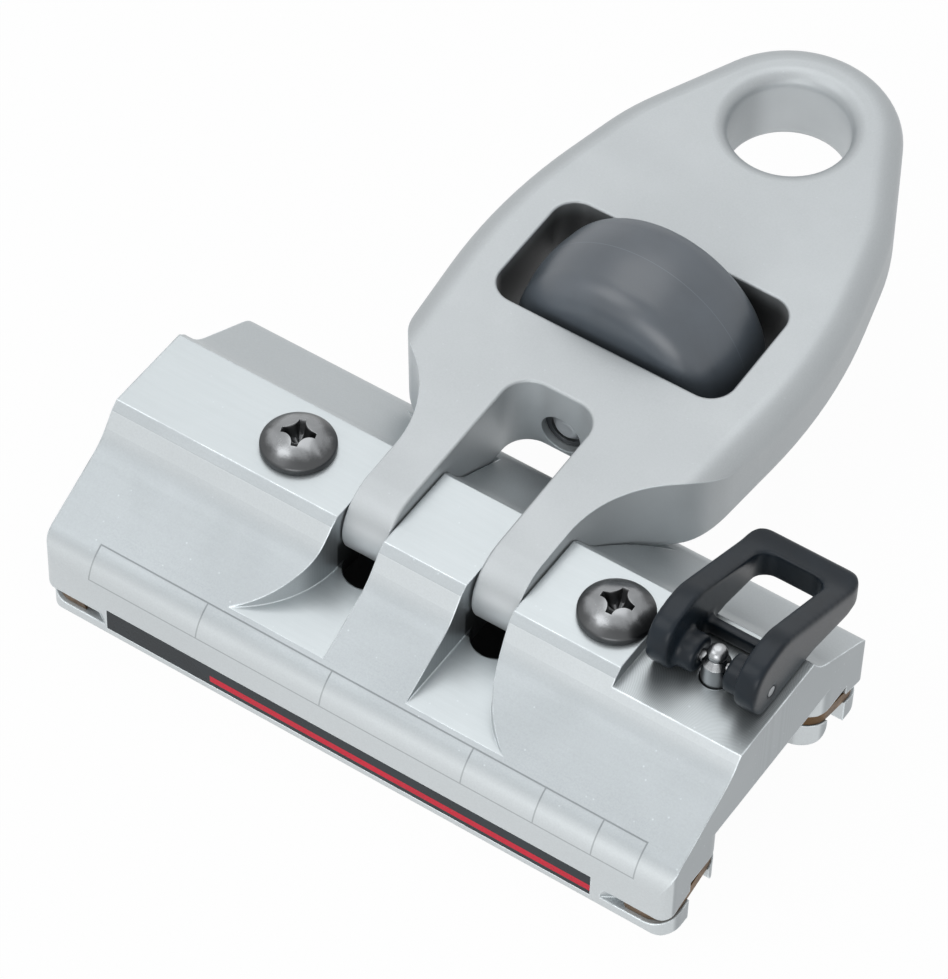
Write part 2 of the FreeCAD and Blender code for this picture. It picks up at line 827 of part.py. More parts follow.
def make_bore_plug():
    """The plug that closes the open end of the hinge bore."""
    start = (-half_length, 0.0, hinge_height)
    plug = cylinder("bore_plug", size("hinge_pin_radius"), size("plug_length"), "X", start)
    plug.Label = "bore_plug"
    return plug


def make_hinge_bush(name, side):
    """A plain bush pressed into one leg of the toggle."""
    inner = size("hinge_pin_radius") + size("running_clearance")
    outer = size("hinge_pin_radius") + size("bush_wall") - size("press_clearance")
    width = size("leg_outer") - size("leg_inner")
    start = size("leg_inner") if side > 0 else -size("leg_outer")
    ring = cylinder(f"{name}_ring", outer, width, "X", (start, 0.0, hinge_height))
    hole = cylinder(f"{name}_hole", inner, width + 2.0, "X", (start - 1.0, 0.0, hinge_height))
    return cut(name, ring, [hole])


def make_toggle():
    """The swinging arm: two legs on the hinge, and a broad paddle with a window and an eye."""
    body = new_body("toggle")
    thickness = size("arm_thickness")
    plate = sketch_on(body, "XY_Plane", "paddle_plan", -half_thickness)
    broad = size("paddle_half_width")
    flank = size("paddle_flank_distance")
    left_side = [
        (-(broad - size("paddle_taper_narrowing")), flank + size("paddle_taper_length"),
         size("paddle_taper_radius")),
        (-broad, flank, size("paddle_flank_radius")),
        (-(broad - size("paddle_root_narrowing")), 0.0),
    ]
    right_side = [(-corner[0],) + corner[1:] for corner in reversed(left_side)]
    apex = (0.0, size("eye_distance") + size("paddle_apex_margin"), size("paddle_tip_radius"))
    outline(plate, [apex] + left_side + right_side)
    pad(body, plate, thickness)
    for name, height in (("top", half_thickness), ("bottom", -half_thickness)):
        soften(body, "Fillet", f"paddle_{name}_rim", size(f"paddle_{name}_edge_radius"),
               lambda p: near(p.z, height) and (abs(p.x) > value(size("leg_outer")) or p.y > value(flank)))

    root = sketch_on(body, "XY_Plane", "paddle_root", half_thickness)
    radius, turn_angle, exit_angle = size("flare_radius"), size("flare_turn"), size("heel_exit_angle")
    flare = radius * tangent(turn_angle / 2)
    wall = flare + size("heel_radius") * tangent((turn_angle - exit_angle) / 2) + 0.3
    flare_corner = size("flare_start") + flare
    heel_x = size("leg_outer") + wall * sine(turn_angle)
    heel_y = flare_corner + wall * cosine(turn_angle)
    wide = broad + beyond
    exit_y = heel_y + (wide - heel_x) / tangent(exit_angle)
    left_cut = [
        (-size("leg_outer"), 0.0),
        (-size("leg_outer"), flare_corner, radius),
        (-heel_x, heel_y, size("heel_radius")),
        (-wide, exit_y),
        (-wide, -beyond),
    ]
    right_cut = [(-corner[0],) + corner[1:] for corner in reversed(left_cut)]
    outline(root, left_cut + right_cut)
    pocket(body, root, thickness)

    notch = sketch_on(body, "XY_Plane", "leg_notch", half_thickness)
    outline(notch, [
        (-size("leg_inner"), -beyond),
        (size("leg_inner"), -beyond),
        (size("leg_inner"), size("notch_end"), size("notch_radius")),
        (-size("leg_inner"), size("notch_end"), size("notch_radius")),
    ])
    pocket(body, notch, thickness)

    for side in (-1, 1):
        start = size("leg_inner") if side > 0 else -size("leg_outer")
        barrel = sketch_on(body, "YZ_Plane", f"barrel_{side + 1}", start)
        circle(barrel, 0.0, 0.0, half_thickness)
        pad(body, barrel, size("leg_outer") - size("leg_inner"))
    bore = sketch_on(body, "YZ_Plane", "bush_bore", size("leg_outer") + beyond)
    circle(bore, 0.0, 0.0, size("hinge_pin_radius") + size("bush_wall"))
    pocket(body, bore, 2 * (size("leg_outer") + beyond))

    window = sketch_on(body, "XY_Plane", "roller_window", half_thickness)
    outline(window, [
        (-size("window_half"), size("window_near"), size("window_radius")),
        (size("window_half"), size("window_near"), size("window_radius")),
        (size("window_half"), size("window_far"), size("window_radius")),
        (-size("window_half"), size("window_far"), size("window_radius")),
    ])
    pocket(body, window, thickness)
    eye = sketch_on(body, "XY_Plane", "eye_hole", half_thickness)
    circle(eye, 0.0, size("eye_distance"), size("eye_radius"))
    pocket(body, eye, thickness)
    reach = value(size("eye_radius")) + 0.1
    soften(body, "Fillet", "eye_lips", size("eye_edge_radius"),
           lambda p: near(abs(p.z), half_thickness)
           and math.hypot(p.x, p.y - value(size("eye_distance"))) < reach)

    drop = -size("roller_drop")
    ring_start = size("notch_end") + size("axle_head_recess")
    axle_end = size("window_far") + size("axle_depth_in_far_web")
    ring_slot = size("ring_thickness") + 0.1
    for name, start, length, radius in (
        ("axle_bore", size("notch_end") - 1.0, axle_end - size("notch_end") + 1.0,
         size("axle_radius") + size("press_clearance")),
        ("axle_counterbore", size("notch_end") - 1.0, size("axle_head_recess") + ring_slot + 1.0,
         size("counterbore_radius")),
        ("ring_groove", ring_start, ring_slot, size("ring_outer_radius") + 0.05),
    ):
        hole = sketch_on(body, "XZ_Plane", name, -start)
        circle(hole, 0.0, drop, radius)
        pocket(body, hole, length)

    inner = value(size("leg_inner"))
    soften(body, "Fillet", "inside_edges", size("edge_break"),
           lambda p: near(abs(p.z), half_thickness) and p.y > 1.0
           and (abs(p.x) < inner + 0.01 and p.y < value(size("notch_end")) + 0.01
                or abs(p.x) < value(size("window_half")) + 0.01
                and value(size("window_near")) - 0.01 < p.y < value(size("window_far")) + 0.01))
    lay_on_arm(body)
    return body


def turned_on_axle(name, corners):
    """A solid of revolution about the axle; corners give radius and distance along the arm."""
    body = new_body(name)
    profile = sketch_on(body, "XY_Plane", f"{name}_profile")
    outline(profile, corners)
    turn(body, profile)
    tilt = size("arm_tilt")
    body.Placement = FreeCAD.Placement(FreeCAD.Vector(), FreeCAD.Rotation(FreeCAD.Vector(1, 0, 0), 1))
    bind(body, "Placement.Rotation.Angle", tilt)
    bind(body, "Placement.Base.y", size("roller_drop") * sine(tilt))
    bind(body, "Placement.Base.z", hinge_height - size("roller_drop") * cosine(tilt))
    return body


def make_roller():
    """The grey rubber roller in the window."""
    low = roller_centre - size("roller_width") / 2
    high = roller_centre + size("roller_width") / 2
    slope = size("roller_crown_slope")
    crown = size("roller_crown_radius")
    peak = size("roller_radius") + crown * (1 / cosine(slope) - 1)
    rim = peak - size("roller_width") / 2 * tangent(slope)
    bore = size("axle_radius") + size("roller_bush_wall")
    return turned_on_axle("roller", [
        (bore, low),
        (rim, low, size("roller_shoulder_radius")),
        (peak, roller_centre, crown),
        (rim, high, size("roller_shoulder_radius")),
        (bore, high),
    ])


def ring_on_axle(name, inner, outer, low, high):
    return turned_on_axle(name, [(inner, low), (outer, low), (outer, high), (inner, high)])


def make_axle_set():
    """The axle, its bush, the two washers and the ring that keeps it in."""
    radius = size("axle_radius")
    head = size("notch_end") + size("axle_head_recess")
    shoulder = head + size("ring_thickness") + 0.05
    end = size("window_far") + size("axle_depth_in_far_web") - 0.3
    dome = size("axle_dome_radius")
    axle = turned_on_axle("roller_axle", [
        (0.0, head - 0.2),
        (dome, head - 0.2, 1.6),
        (dome, shoulder),
        (radius, shoulder),
        (radius, end),
        (0.0, end),
    ])
    running = radius + size("running_clearance")
    bush_outer = radius + size("roller_bush_wall") - size("press_clearance")
    low = roller_centre - size("roller_width") / 2
    high = roller_centre + size("roller_width") / 2
    play = size("washer_play")
    bush = ring_on_axle("roller_bush", running, bush_outer, low, high)
    wide = size("washer_radius")
    near_side = size("window_near") + play
    far_side = size("window_far") - play
    near_washer = ring_on_axle("roller_washer_near", running, wide, near_side, low - play)
    far_washer = ring_on_axle("roller_washer_far", running, wide, high + play, far_side)
    ring = ring_on_axle("axle_ring", size("ring_inner_radius"), size("ring_outer_radius"), head + 0.02,
                        head + size("ring_thickness"))
    return [axle, bush, near_washer, far_washer, ring]


def turned_on_pin(name, corners):
    """A solid of revolution about the stop pin's axis; corners give radius and height."""
    body = new_body(name)
    profile = sketch_on(body, "XZ_Plane", f"{name}_profile")
    outline(profile, corners)
    turn(body, profile)
    bind(body, "Placement.Base.x", pin_distance)
    return body


def make_stop_pin():
    """The spring-loaded pin that drops into the holes of the rail."""
    bush_top = size("channel_height") + size("pin_bush_height")
    collar_top = bush_top + size("pin_collar_height")
    neck = size("pin_neck_radius")
    shoulder = size("pin_shoulder_height")
    head = size("pin_head_radius")
    head_top = shoulder + size("pin_head_height")
    shaft = turned_on_pin("stop_pin_shaft", [
        (0.0, size("pin_tip_height")),
        (size("pin_tip_radius") - 0.8, size("pin_tip_height")),
        (size("pin_tip_radius"), size("pin_tip_height") + 0.8),
        (size("pin_tip_radius"), size("channel_height") - 0.4),
        (size("pin_guide_radius"), size("channel_height") - 0.2),
        (size("pin_guide_radius"), bush_top + 0.02),
        (size("pin_collar_radius"), bush_top + 0.02),
        (size("pin_collar_radius"), collar_top),
        (size("pin_radius"), collar_top),
        (size("pin_radius"), shoulder - 1.2),
        (neck, shoulder, 0.3),
        (head, shoulder + 0.7, 0.6),
        (head, head_top, 1.6),
        (0.0, head_top),
    ])
    start = (pin_distance - handle_half_width, 0.0, size("cross_pin_height"))
    hole = cylinder("stop_pin_cross_hole", size("cross_pin_radius") + size("press_clearance"),
                    2 * handle_half_width, "X", start)
    return cut("stop_pin", shaft, [hole])


def make_pin_bush():
    """The bush that guides the pin's tip and carries the spring."""
    low = size("channel_height")
    inner = size("pin_guide_radius") + size("running_clearance")
    outer = size("spring_bore_radius") - size("press_clearance")
    high = low + size("pin_bush_height")
    return turned_on_pin("pin_bush", [(inner, low), (outer, low), (outer, high), (inner, high)])


def make_pin_spring():
    """The coil spring between the pin's collar and the top of its bore."""
    wire = size("spring_wire_radius")
    bush_top = size("channel_height") + size("pin_bush_height")
    low = bush_top + size("pin_collar_height") + wire + 0.05
    high = size("spring_bore_top") - wire - 0.05
    helix = doc.addObject("Part::Helix", "pin_spring_line")
    bind(helix, "Radius", size("spring_radius"))
    bind(helix, "Height", high - low)
    bind(helix, "Pitch", (high - low) / size("spring_turns"))
    section = doc.addObject("Part::Circle", "pin_spring_wire")
    bind(section, "Radius", wire)
    section.Placement = FreeCAD.Placement(FreeCAD.Vector(), FreeCAD.Rotation(FreeCAD.Vector(1, 0, 0), 90))
    bind(section, "Placement.Base.x", size("spring_radius"))
    doc.recompute()
    spring = doc.addObject("Part::Sweep", "pin_spring")
    spring.Label = "pin_spring"
    spring.Sections = [section]
    spring.Spine = (helix, ["Edge1"])
    spring.Solid = True
    spring.Frenet = True
    bind(spring, "Placement.Base.x", pin_distance)
    bind(spring, "Placement.Base.z", low)
    return spring


def make_pull_handle():
    """The black loop handle: cam ears on the cross pin, two arms and a thin far bar."""
    body = new_body("pull_handle")
    half = handle_half_width
    side = sketch_on(body, "YZ_Plane", "handle_side", -half)
    floor = size("recess_floor") + size("handle_floor_clearance")
    top = size("ear_top")
    front = size("ear_front")
    far = size("handle_far_end")
    far_top = size("handle_far_top")
    bar = size("handle_bar_width")
    bar_bottom = far_top - size("handle_bar_height")
    outline(side, [
        (-0.5 * front, floor, 3.0),
        (-front, top - 8.5, 6.0),
        (-0.75 * front, top - 1.6, 5.0),
        (3.5, top - 0.2, 12.0),
        (far - bar, far_top, 14.0),
        (far, far_top - 0.4, 1.8),
        (far - 0.8, bar_bottom + 0.4, 1.4),
        (far - bar - 2.0, bar_bottom, 2.0),
        (14.0, floor, 6.0),
    ])
    pad(body, side, 2 * half)
    corners = sketch_on(body, "XY_Plane", "handle_corners", top + 1.0)
    corner_radius = size("handle_corner_radius")
    for way in (-1, 1):
        outline(corners, [
            (way * (half - corner_radius - 1.0), far),
            (way * half, far, corner_radius),
            (way * half, far - corner_radius - 1.0),
            (way * (half + 2.0), far - corner_radius - 1.0),
            (way * (half + 2.0), far + 2.0),
            (way * (half - corner_radius - 1.0), far + 2.0),
        ])
    pocket(body, corners, beyond)

    opening = size("handle_opening_half")
    plan = sketch_on(body, "XY_Plane", "handle_plan", top + 1.0)
    outline(plan, [
        (-opening, size("handle_bridge_end"), 1.0),
        (opening, size("handle_bridge_end"), 1.0),
        (opening, size("handle_bar_start"), 3.0),
        (-opening, size("handle_bar_start"), 3.0),
    ])
    outline(plan, [
        (-opening, -beyond),
        (opening, -beyond),
        (opening, size("handle_bridge_start"), 1.0),
        (-opening, size("handle_bridge_start"), 1.0),
    ])
    pocket(body, plan, beyond)
    saddle = sketch_on(body, "XY_Plane", "handle_bridge_cut", size("handle_bridge_top"))
    box_outline(saddle, -opening, opening, 0.0, size("handle_bridge_end") + 2.0)
    pocket(body, saddle, beyond, reverse=True)
    for way in (-1, 1):
        start = size("pin_radius") + size("boss_gap") if way > 0 else -opening - 0.5
        boss = sketch_on(body, "YZ_Plane", f"handle_boss_{way + 1}", start)
        circle(boss, 0.0, size("cross_pin_height"), size("boss_radius"))
        pad(body, boss, opening + 0.5 - size("pin_radius") - size("boss_gap"))
    bore = sketch_on(body, "YZ_Plane", "handle_bore", half + 1.0)
    circle(bore, 0.0, size("cross_pin_height"), size("cross_pin_radius") + size("running_clearance"))
    pocket(body, bore, 2 * half + 2.0)
    bind(body, "Placement.Base.x", pin_distance)
    return body


def make_cross_pin():
    """The small pin that joins the handle to the stop pin."""
    half = handle_half_width - size("cross_pin_inset")
    start = (pin_distance - half, 0.0, size("cross_pin_height"))
    pin = cylinder("handle_cross_pin", size("cross_pin_radius"), 2 * half, "X", start)
    pin.Label = "handle_cross_pin"
    return pin


SIDES = (("front", -1), ("back", 1))
ENDS = (("left", -1), ("right", 1))

nodes = [make_car_body()]
for side_name, side in SIDES:
    nodes.append(make_bearing_balls(f"bearing_balls_{side_name}", side))
    nodes.append(make_side_strip(f"side_strip_{side_name}", side))
    for end_name, end in ENDS:
        nodes.append(make_ball_guide(f"ball_guide_{side_name}_{end_name}", side, end))
for end_name, end in ENDS:
    nodes.append(make_retaining_screw(f"retaining_screw_{end_name}", end))
    nodes.append(make_hinge_bush(f"hinge_bush_{end_name}", end))
nodes.append(make_hinge_pin())
nodes.append(make_bore_plug())
nodes.append(make_toggle())
nodes.append(make_roller())
nodes.extend(make_axle_set())
nodes.append(make_stop_pin())
nodes.append(make_pin_bush())
nodes.append(make_pin_spring())
nodes.append(make_pull_handle())
nodes.append(make_cross_pin())
doc.recompute()

for thing in doc.Objects:
    if "Invalid" in thing.State or "Error" in thing.State:
        raise RuntimeError(f"{thing.Name} did not compute: {thing.State}")
for node in nodes:
    if node.Shape.isNull() or not node.Shape.isValid() or not node.Shape.Solids:
        raise RuntimeError(f"{node.Label} has no valid solid")

os.makedirs("parts", exist_ok=True)
for node in nodes:
    node.Shape.exportStep(f"parts/{node.Label}.step")
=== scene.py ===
import math

import bpy
from bpy.props import FloatProperty, FloatVectorProperty, PointerProperty
from mathutils import Matrix, Vector


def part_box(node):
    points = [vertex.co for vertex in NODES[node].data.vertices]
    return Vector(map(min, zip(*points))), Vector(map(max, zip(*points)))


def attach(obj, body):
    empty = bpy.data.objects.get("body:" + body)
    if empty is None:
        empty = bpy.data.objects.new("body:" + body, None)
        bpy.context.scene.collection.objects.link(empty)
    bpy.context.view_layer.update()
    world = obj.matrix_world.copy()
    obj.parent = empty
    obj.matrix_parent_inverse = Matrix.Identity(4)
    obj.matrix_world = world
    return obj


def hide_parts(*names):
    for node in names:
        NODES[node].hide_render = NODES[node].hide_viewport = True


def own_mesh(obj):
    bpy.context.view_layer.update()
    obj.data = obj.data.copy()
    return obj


# Track car for a deck rail: an aluminium saddle with ball circuits in its legs, a swinging toggle
# arm with a rubber roller and an eye, and a spring pin with a folding pull handle.
# X runs along the rail, -Y is the side with the colour strip that faces the camera, +Z is up.

bl_info = {
    "name": "Track Car",
    "version": (1, 0, 0),
    "blender": (4, 5, 0),
    "location": "3D View > Sidebar > Track Car",
    "description": "Finishes and detail pieces for a track car, and a stage to show it on",
    "category": "Object",
}

MM = 0.001
ARM_TILT = math.radians(2.6)
# Where the upright lines of the etched frame stand along the rail, in millimetres.
ETCHED_DIVIDERS = (-32.7, -6.1, 23.6, 38.5, 50.4)
# Name, side of the square lamp in metres, watts and place of each soft lamp.
LAMPS = (
    ("key_lamp", 0.9, 4.5, (-0.55, -0.75, 1.15)),
    ("top_lamp", 1.1, 5.0, (-0.25, 0.45, 1.35)),
    ("front_lamp", 0.8, 5.0, (0.4, -1.2, 0.3)),
)

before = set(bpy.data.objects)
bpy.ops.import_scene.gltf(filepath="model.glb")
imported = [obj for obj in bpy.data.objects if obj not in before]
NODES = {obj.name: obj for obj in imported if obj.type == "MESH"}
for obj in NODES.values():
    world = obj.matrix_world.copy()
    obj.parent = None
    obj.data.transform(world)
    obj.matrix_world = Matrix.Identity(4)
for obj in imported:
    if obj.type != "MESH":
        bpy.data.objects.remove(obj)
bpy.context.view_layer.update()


def millimetres(name, description, default):
    """A length property, with its default given in millimetres."""
    return FloatProperty(name=name, description=description, default=default * MM, subtype="DISTANCE",
                         unit="LENGTH", precision=5)


def colour(name, description, default):
    """A colour property."""
    return FloatVectorProperty(name=name, description=description, default=default, subtype="COLOR",
                               size=3, min=0.0, max=1.0)


class TrackCarFinish(bpy.types.PropertyGroup):
    """Colours and surface sizes of the track car."""

    extruded: colour("Extruded aluminium", "Colour of the saddle's slopes and sides", (0.345, 0.372, 0.387))
    # Painted light: a lighter colour for the saddle's steep faces, standing in for light falling on them.
    wall: colour("Steep walls painted light", "Colour of the saddle's upright walls", (0.60, 0.635, 0.65))
    machined: colour("Machined aluminium", "Colour of the saddle's flat tops and cut faces",
                     (0.45, 0.485, 0.50))
    blasted: colour("Blasted aluminium", "Colour of the toggle arm", (0.45, 0.475, 0.488))
    milled: colour("Milled walls", "Colour of the toggle's cut walls", (0.62, 0.65, 0.665))
    rubber: colour("Roller rubber", "Colour of the roller", (0.09, 0.106, 0.124))
    handle: colour("Handle plastic", "Colour of the pull handle", (0.009, 0.0145, 0.021))
    strip: colour("Strip", "Ground colour of the side strips", (0.016, 0.022, 0.027))
    stripe: colour("Stripe", "Colour of the line along the side strips", (0.62, 0.004, 0.03))
    steel: colour("Stainless steel", "Colour of screws, pins and axle", (0.30, 0.31, 0.32))
    bronze: colour("Guide bronze", "Colour of the ball guides", (0.15, 0.09, 0.045))
    washer: colour("Washer plastic", "Colour of the roller's side washers", (0.05, 0.052, 0.055))
    edge_radius: millimetres("Edge radius", "How far the machined edges are broken", 0.42)
    speckle_size: millimetres("Speckle size", "Size of the blasted surface's speckle", 0.35)
    brush_pitch: millimetres("Brush pitch", "Distance between brushed lines", 0.12)
    stripe_start: millimetres("Stripe start", "Where the line on the strip begins, along the rail", -29.7)
    stripe_low: millimetres("Stripe bottom", "Height of the line's lower edge", 3.45)
    stripe_high: millimetres("Stripe top", "Height of the line's upper edge", 5.0)
    etched_line: millimetres("Etched line", "Width of the lines etched into the front slope", 0.28)
    etched_start: millimetres("Etched start", "Left end of the etched frame, along the rail", -56.1)
    etched_end: millimetres("Etched end", "Right end of the etched frame, along the rail", 59.1)
    etched_top: millimetres("Etched top", "Upper line's distance from the middle of the saddle", 28.95)
    etched_bottom: millimetres("Etched bottom", "Height of the lower line", 13.5)
    # Below the two shade heights, the channel and the slots of the arm get painted shade.
    channel_half: millimetres("Channel half", "From the saddle's middle to the channel's walls", 14.5)
    channel_shade: millimetres("Channel shade", "Height below which the channel is dark", 18.0)
    slot_half: millimetres("Slot half", "From the saddle's middle to the ends of the dark slots", 9.5)
    slot_shade: millimetres("Slot shade", "Height below which the slots of the arm are dark", 25.5)
    recess_floor: millimetres("Recess floor", "Height of the floor of the pin's recess", 30.7)
    wing_reach: millimetres("Recess reach", "From a screw's middle to the end of its cross recess", 3.15)
    flute_place: millimetres("Flute place", "From a screw's middle to the middle of a flute's arc", 4.28)
    flute_radius: millimetres("Flute radius", "Radius of the arc between two wings of the recess", 2.43)
    skin_cell: millimetres("Handle cell", "Size of the faces of the moulded handle", 0.3)


class TrackCarStage(bpy.types.PropertyGroup):
    """Where the camera stands, and how large the floor is."""

    azimuth: FloatProperty(name="Azimuth", description="Camera's turn about the upright axis",
                           default=math.radians(32.215), subtype="ANGLE", unit="ROTATION")
    elevation: FloatProperty(name="Elevation", description="Camera's height angle",
                             default=math.radians(49.704), subtype="ANGLE", unit="ROTATION")
    roll: FloatProperty(name="Roll", description="Camera's turn about its own line of sight",
                        default=math.radians(1.987), subtype="ANGLE", unit="ROTATION")
    distance: FloatProperty(name="Distance", description="From the camera to its target", default=0.898593,
                            subtype="DISTANCE", unit="LENGTH")
    target: FloatVectorProperty(name="Target", description="The point that the camera looks at",
                                default=(-0.01329, 0.026742, 0.00925), subtype="TRANSLATION", size=3)
    lens: FloatProperty(name="Lens", description="Focal length on a 36 mm sensor, in millimetres",
                        default=180.93)
    floor_size: FloatProperty(name="Floor size", description="Side of the square floor", default=6.0,
                              subtype="DISTANCE", unit="LENGTH")


# Shader building

def add(tree, kind, inputs=None, **settings):
    """A shader node, with each input given as a value or as the socket to link to it."""
    made = tree.nodes.new("ShaderNode" + kind)
    for name, setting in settings.items():
        setattr(made, name, setting)
    for key, given in (inputs or {}).items():
        socket = made.inputs[key]
        if isinstance(given, bpy.types.NodeSocket):
            tree.links.new(given, socket)
        else:
            socket.default_value = given
    return made


def maths(tree, operation, *values, clamp=False):
    """What a Math node makes of values or sockets."""
    return add(tree, "Math", dict(enumerate(values)), operation=operation, use_clamp=clamp).outputs[0]


def ramp(tree, given, low, high, start=0.0, end=1.0):
    """The given value, stretched so that low gives start and high gives end."""
    values = {"Value": given, "From Min": low, "From Max": high, "To Min": start, "To Max": end}
    return add(tree, "MapRange", values, interpolation_type="SMOOTHSTEP").outputs["Result"]


def times(tree, first, second):
    """The product of two values or sockets."""
    return maths(tree, "MULTIPLY", first, second)


def plus(tree, first, second):
    """The sum of two values or sockets."""
    return maths(tree, "ADD", first, second)


def mix(tree, share, first, second):
    """The first colour, with a share of the second in it."""
    made = add(tree, "Mix", data_type="RGBA")
    for index, given in ((0, share), (6, first), (7, second)):
        if isinstance(given, bpy.types.NodeSocket):
            tree.links.new(given, made.inputs[index])
        else:
            made.inputs[index].default_value = given
    return made.outputs[2]


def rgba(three, scale=1.0):
    """A colour made lighter or darker by a scale, with full alpha."""
    return tuple(min(1.0, part * scale) for part in three) + (1.0,)


def group(name, inputs, outputs, build):
    """A shader node group, built the first time that it is asked for."""
    tree = bpy.data.node_groups.get(name)
    if tree:
        return tree
    tree = bpy.data.node_groups.new(name, "ShaderNodeTree")
    for label, kind, default in inputs:
        socket = tree.interface.new_socket(label, in_out="INPUT", socket_type="NodeSocket" + kind)
        if default is not None:
            socket.default_value = default
    for label, kind in outputs:
        tree.interface.new_socket(label, in_out="OUTPUT", socket_type="NodeSocket" + kind)
    way_in = tree.nodes.new("NodeGroupInput")
    way_out = tree.nodes.new("NodeGroupOutput")
    for label, socket in build(tree, way_in.outputs).items():
        tree.links.new(socket, way_out.inputs[label])
    return tree


def use(tree, node_group, **inputs):
    """The outputs of a node group placed in a material, with its inputs by name."""
    made = tree.nodes.new("ShaderNodeGroup")
    made.node_tree = node_group
    for key, given in inputs.items():
        socket = made.inputs[key.replace("_", " ").capitalize()]
        if isinstance(given, bpy.types.NodeSocket):
            tree.links.new(given, socket)
        else:
            socket.default_value = given
    return made.outputs


def edge_wear_and_highlight():
    """Rounds the shading of sharp edges, and masks where they are rubbed bright and where a painted
    highlight goes on them.
    """
    def build(tree, given):
        bevel = add(tree, "Bevel", {"Radius": given["Radius"]}, samples=6)
        flat = add(tree, "NewGeometry").outputs["Normal"]
        likeness = add(tree, "VectorMath", {0: bevel.outputs[0], 1: flat}, operation="DOT_PRODUCT")
        turned = maths(tree, "SUBTRACT", 1.0, likeness.outputs["Value"])
        place = add(tree, "TexCoord").outputs["Object"]
        patches = add(tree, "TexNoise", {"Vector": place, "Scale": given["Patches"], "Detail": 3.0})
        broken = ramp(tree, patches.outputs[0], 0.35, 0.62, 0.35, 1.0)
        mask = times(tree, ramp(tree, turned, 0.005, 0.08), broken)
        return {"Mask": mask, "Normal": bevel.outputs[0]}
    return group("Edge wear and highlight", [("Radius", "Float", 0.0003), ("Patches", "Float", 300.0)],
                 [("Mask", "Float"), ("Normal", "Vector")], build)


def brushed_grain():
    """Fine lines along X, as brushing or an extrusion die leaves them."""
    def build(tree, given):
        across = maths(tree, "DIVIDE", 1.0, given["Pitch"])
        along = times(tree, across, given["Stretch"])
        scales = add(tree, "CombineXYZ", {0: along, 1: across, 2: across}).outputs[0]
        place = add(tree, "VectorMath", {0: given["Vector"], 1: scales}, operation="MULTIPLY").outputs[0]
        lines = add(tree, "TexNoise", {"Vector": place, "Scale": 1.0, "Detail": 3.0, "Roughness": 0.65})
        wide = add(tree, "VectorMath", {0: place, 1: (0.3, 0.13, 0.13)}, operation="MULTIPLY").outputs[0]
        bands = add(tree, "TexNoise", {"Vector": wide, "Scale": 1.0, "Detail": 2.0})
        both = add(tree, "Mix", {0: 0.35, 2: lines.outputs[0], 3: bands.outputs[0]}).outputs[0]
        return {"Lines": ramp(tree, both, 0.3, 0.7)}
    return group("Brushed grain", [("Vector", "Vector", None), ("Pitch", "Float", 0.0001),
                                   ("Stretch", "Float", 0.03)], [("Lines", "Float")], build)


def speckle():
    """The fine speckle of a blasted or anodised surface, with a few small bright pits."""
    def build(tree, given):
        scale = maths(tree, "DIVIDE", 1.0, given["Size"])
        grains = add(tree, "TexNoise", {"Vector": given["Vector"], "Scale": scale, "Detail": 4.0,
                                        "Roughness": 0.7}).outputs[0]
        sparse = times(tree, scale, 0.22)
        cells = add(tree, "TexVoronoi", {"Vector": given["Vector"], "Scale": sparse})
        chosen = ramp(tree, cells.outputs["Color"], 0.72, 0.78)
        spots = ramp(tree, cells.outputs["Distance"], 0.16, 0.05)
        wide = times(tree, scale, 0.03)
        clouds = add(tree, "TexNoise", {"Vector": given["Vector"], "Scale": wide, "Detail": 3.0}).outputs[0]
        return {"Grains": ramp(tree, grains, 0.25, 0.75), "Pits": times(tree, chosen, spots),
                "Clouds": ramp(tree, clouds, 0.3, 0.7)}
    return group("Speckle", [("Vector", "Vector", None), ("Size", "Float", 0.0003)],
                 [("Grains", "Float"), ("Pits", "Float"), ("Clouds", "Float")], build)


def tool_rings():
    """Rings about an upright axis, as a turning or milling tool leaves them."""
    def build(tree, given):
        away = add(tree, "VectorMath", {0: given["Vector"], 1: given["Centre"]}, operation="SUBTRACT")
        flat = add(tree, "VectorMath", {0: away.outputs[0], 1: (1.0, 1.0, 0.0)},
                   operation="MULTIPLY").outputs[0]
        distance = add(tree, "VectorMath", {0: flat}, operation="LENGTH").outputs["Value"]
        wobble = add(tree, "TexNoise", {"Vector": flat, "Scale": 260.0, "Detail": 2.0}).outputs[0]
        phase = plus(tree, maths(tree, "DIVIDE", distance, given["Pitch"]),
                      times(tree, wobble, 1.6))
        wave = maths(tree, "SINE", times(tree, phase, math.tau))
        return {"Rings": ramp(tree, wave, -1.0, 1.0), "Distance": distance}
    return group("Tool rings", [("Vector", "Vector", None), ("Centre", "Vector", None),
                                ("Pitch", "Float", 0.0003)],
                 [("Rings", "Float"), ("Distance", "Float")], build)


def handling_marks():
    """Soft smudges and a few hairline scratches from use."""
    def build(tree, given):
        smudge = add(tree, "TexNoise", {"Vector": given["Vector"], "Scale": given["Smudges"], "Detail": 4.0,
                                        "Distortion": 0.6}).outputs[0]
        skew = add(tree, "VectorRotate", {"Vector": given["Vector"], "Angle": 0.7}, rotation_type="Z_AXIS")
        drawn = add(tree, "VectorMath", {0: skew.outputs[0], 1: (24.0, 900.0, 300.0)},
                    operation="MULTIPLY").outputs[0]
        lines = add(tree, "TexNoise", {"Vector": drawn, "Scale": 1.0, "Detail": 1.0}).outputs[0]
        return {"Smudge": ramp(tree, smudge, 0.3, 0.7), "Scratches": ramp(tree, lines, 0.70, 0.76)}
    return group("Handling marks", [("Vector", "Vector", None), ("Smudges", "Float", 60.0)],
                 [("Smudge", "Float"), ("Scratches", "Float")], build)


def new_material(name, base, roughness, metallic=0.0, specular=0.5):
    """A material with one Principled shader, and its node tree."""
    material = bpy.data.materials.new(name)
    material.use_nodes = True
    tree = material.node_tree
    shader = tree.nodes["Principled BSDF"]
    shader.inputs["Base Color"].default_value = rgba(base)
    shader.inputs["Roughness"].default_value = roughness
    shader.inputs["Metallic"].default_value = metallic
    shader.inputs["Specular IOR Level"].default_value = specular
    return material, tree, shader


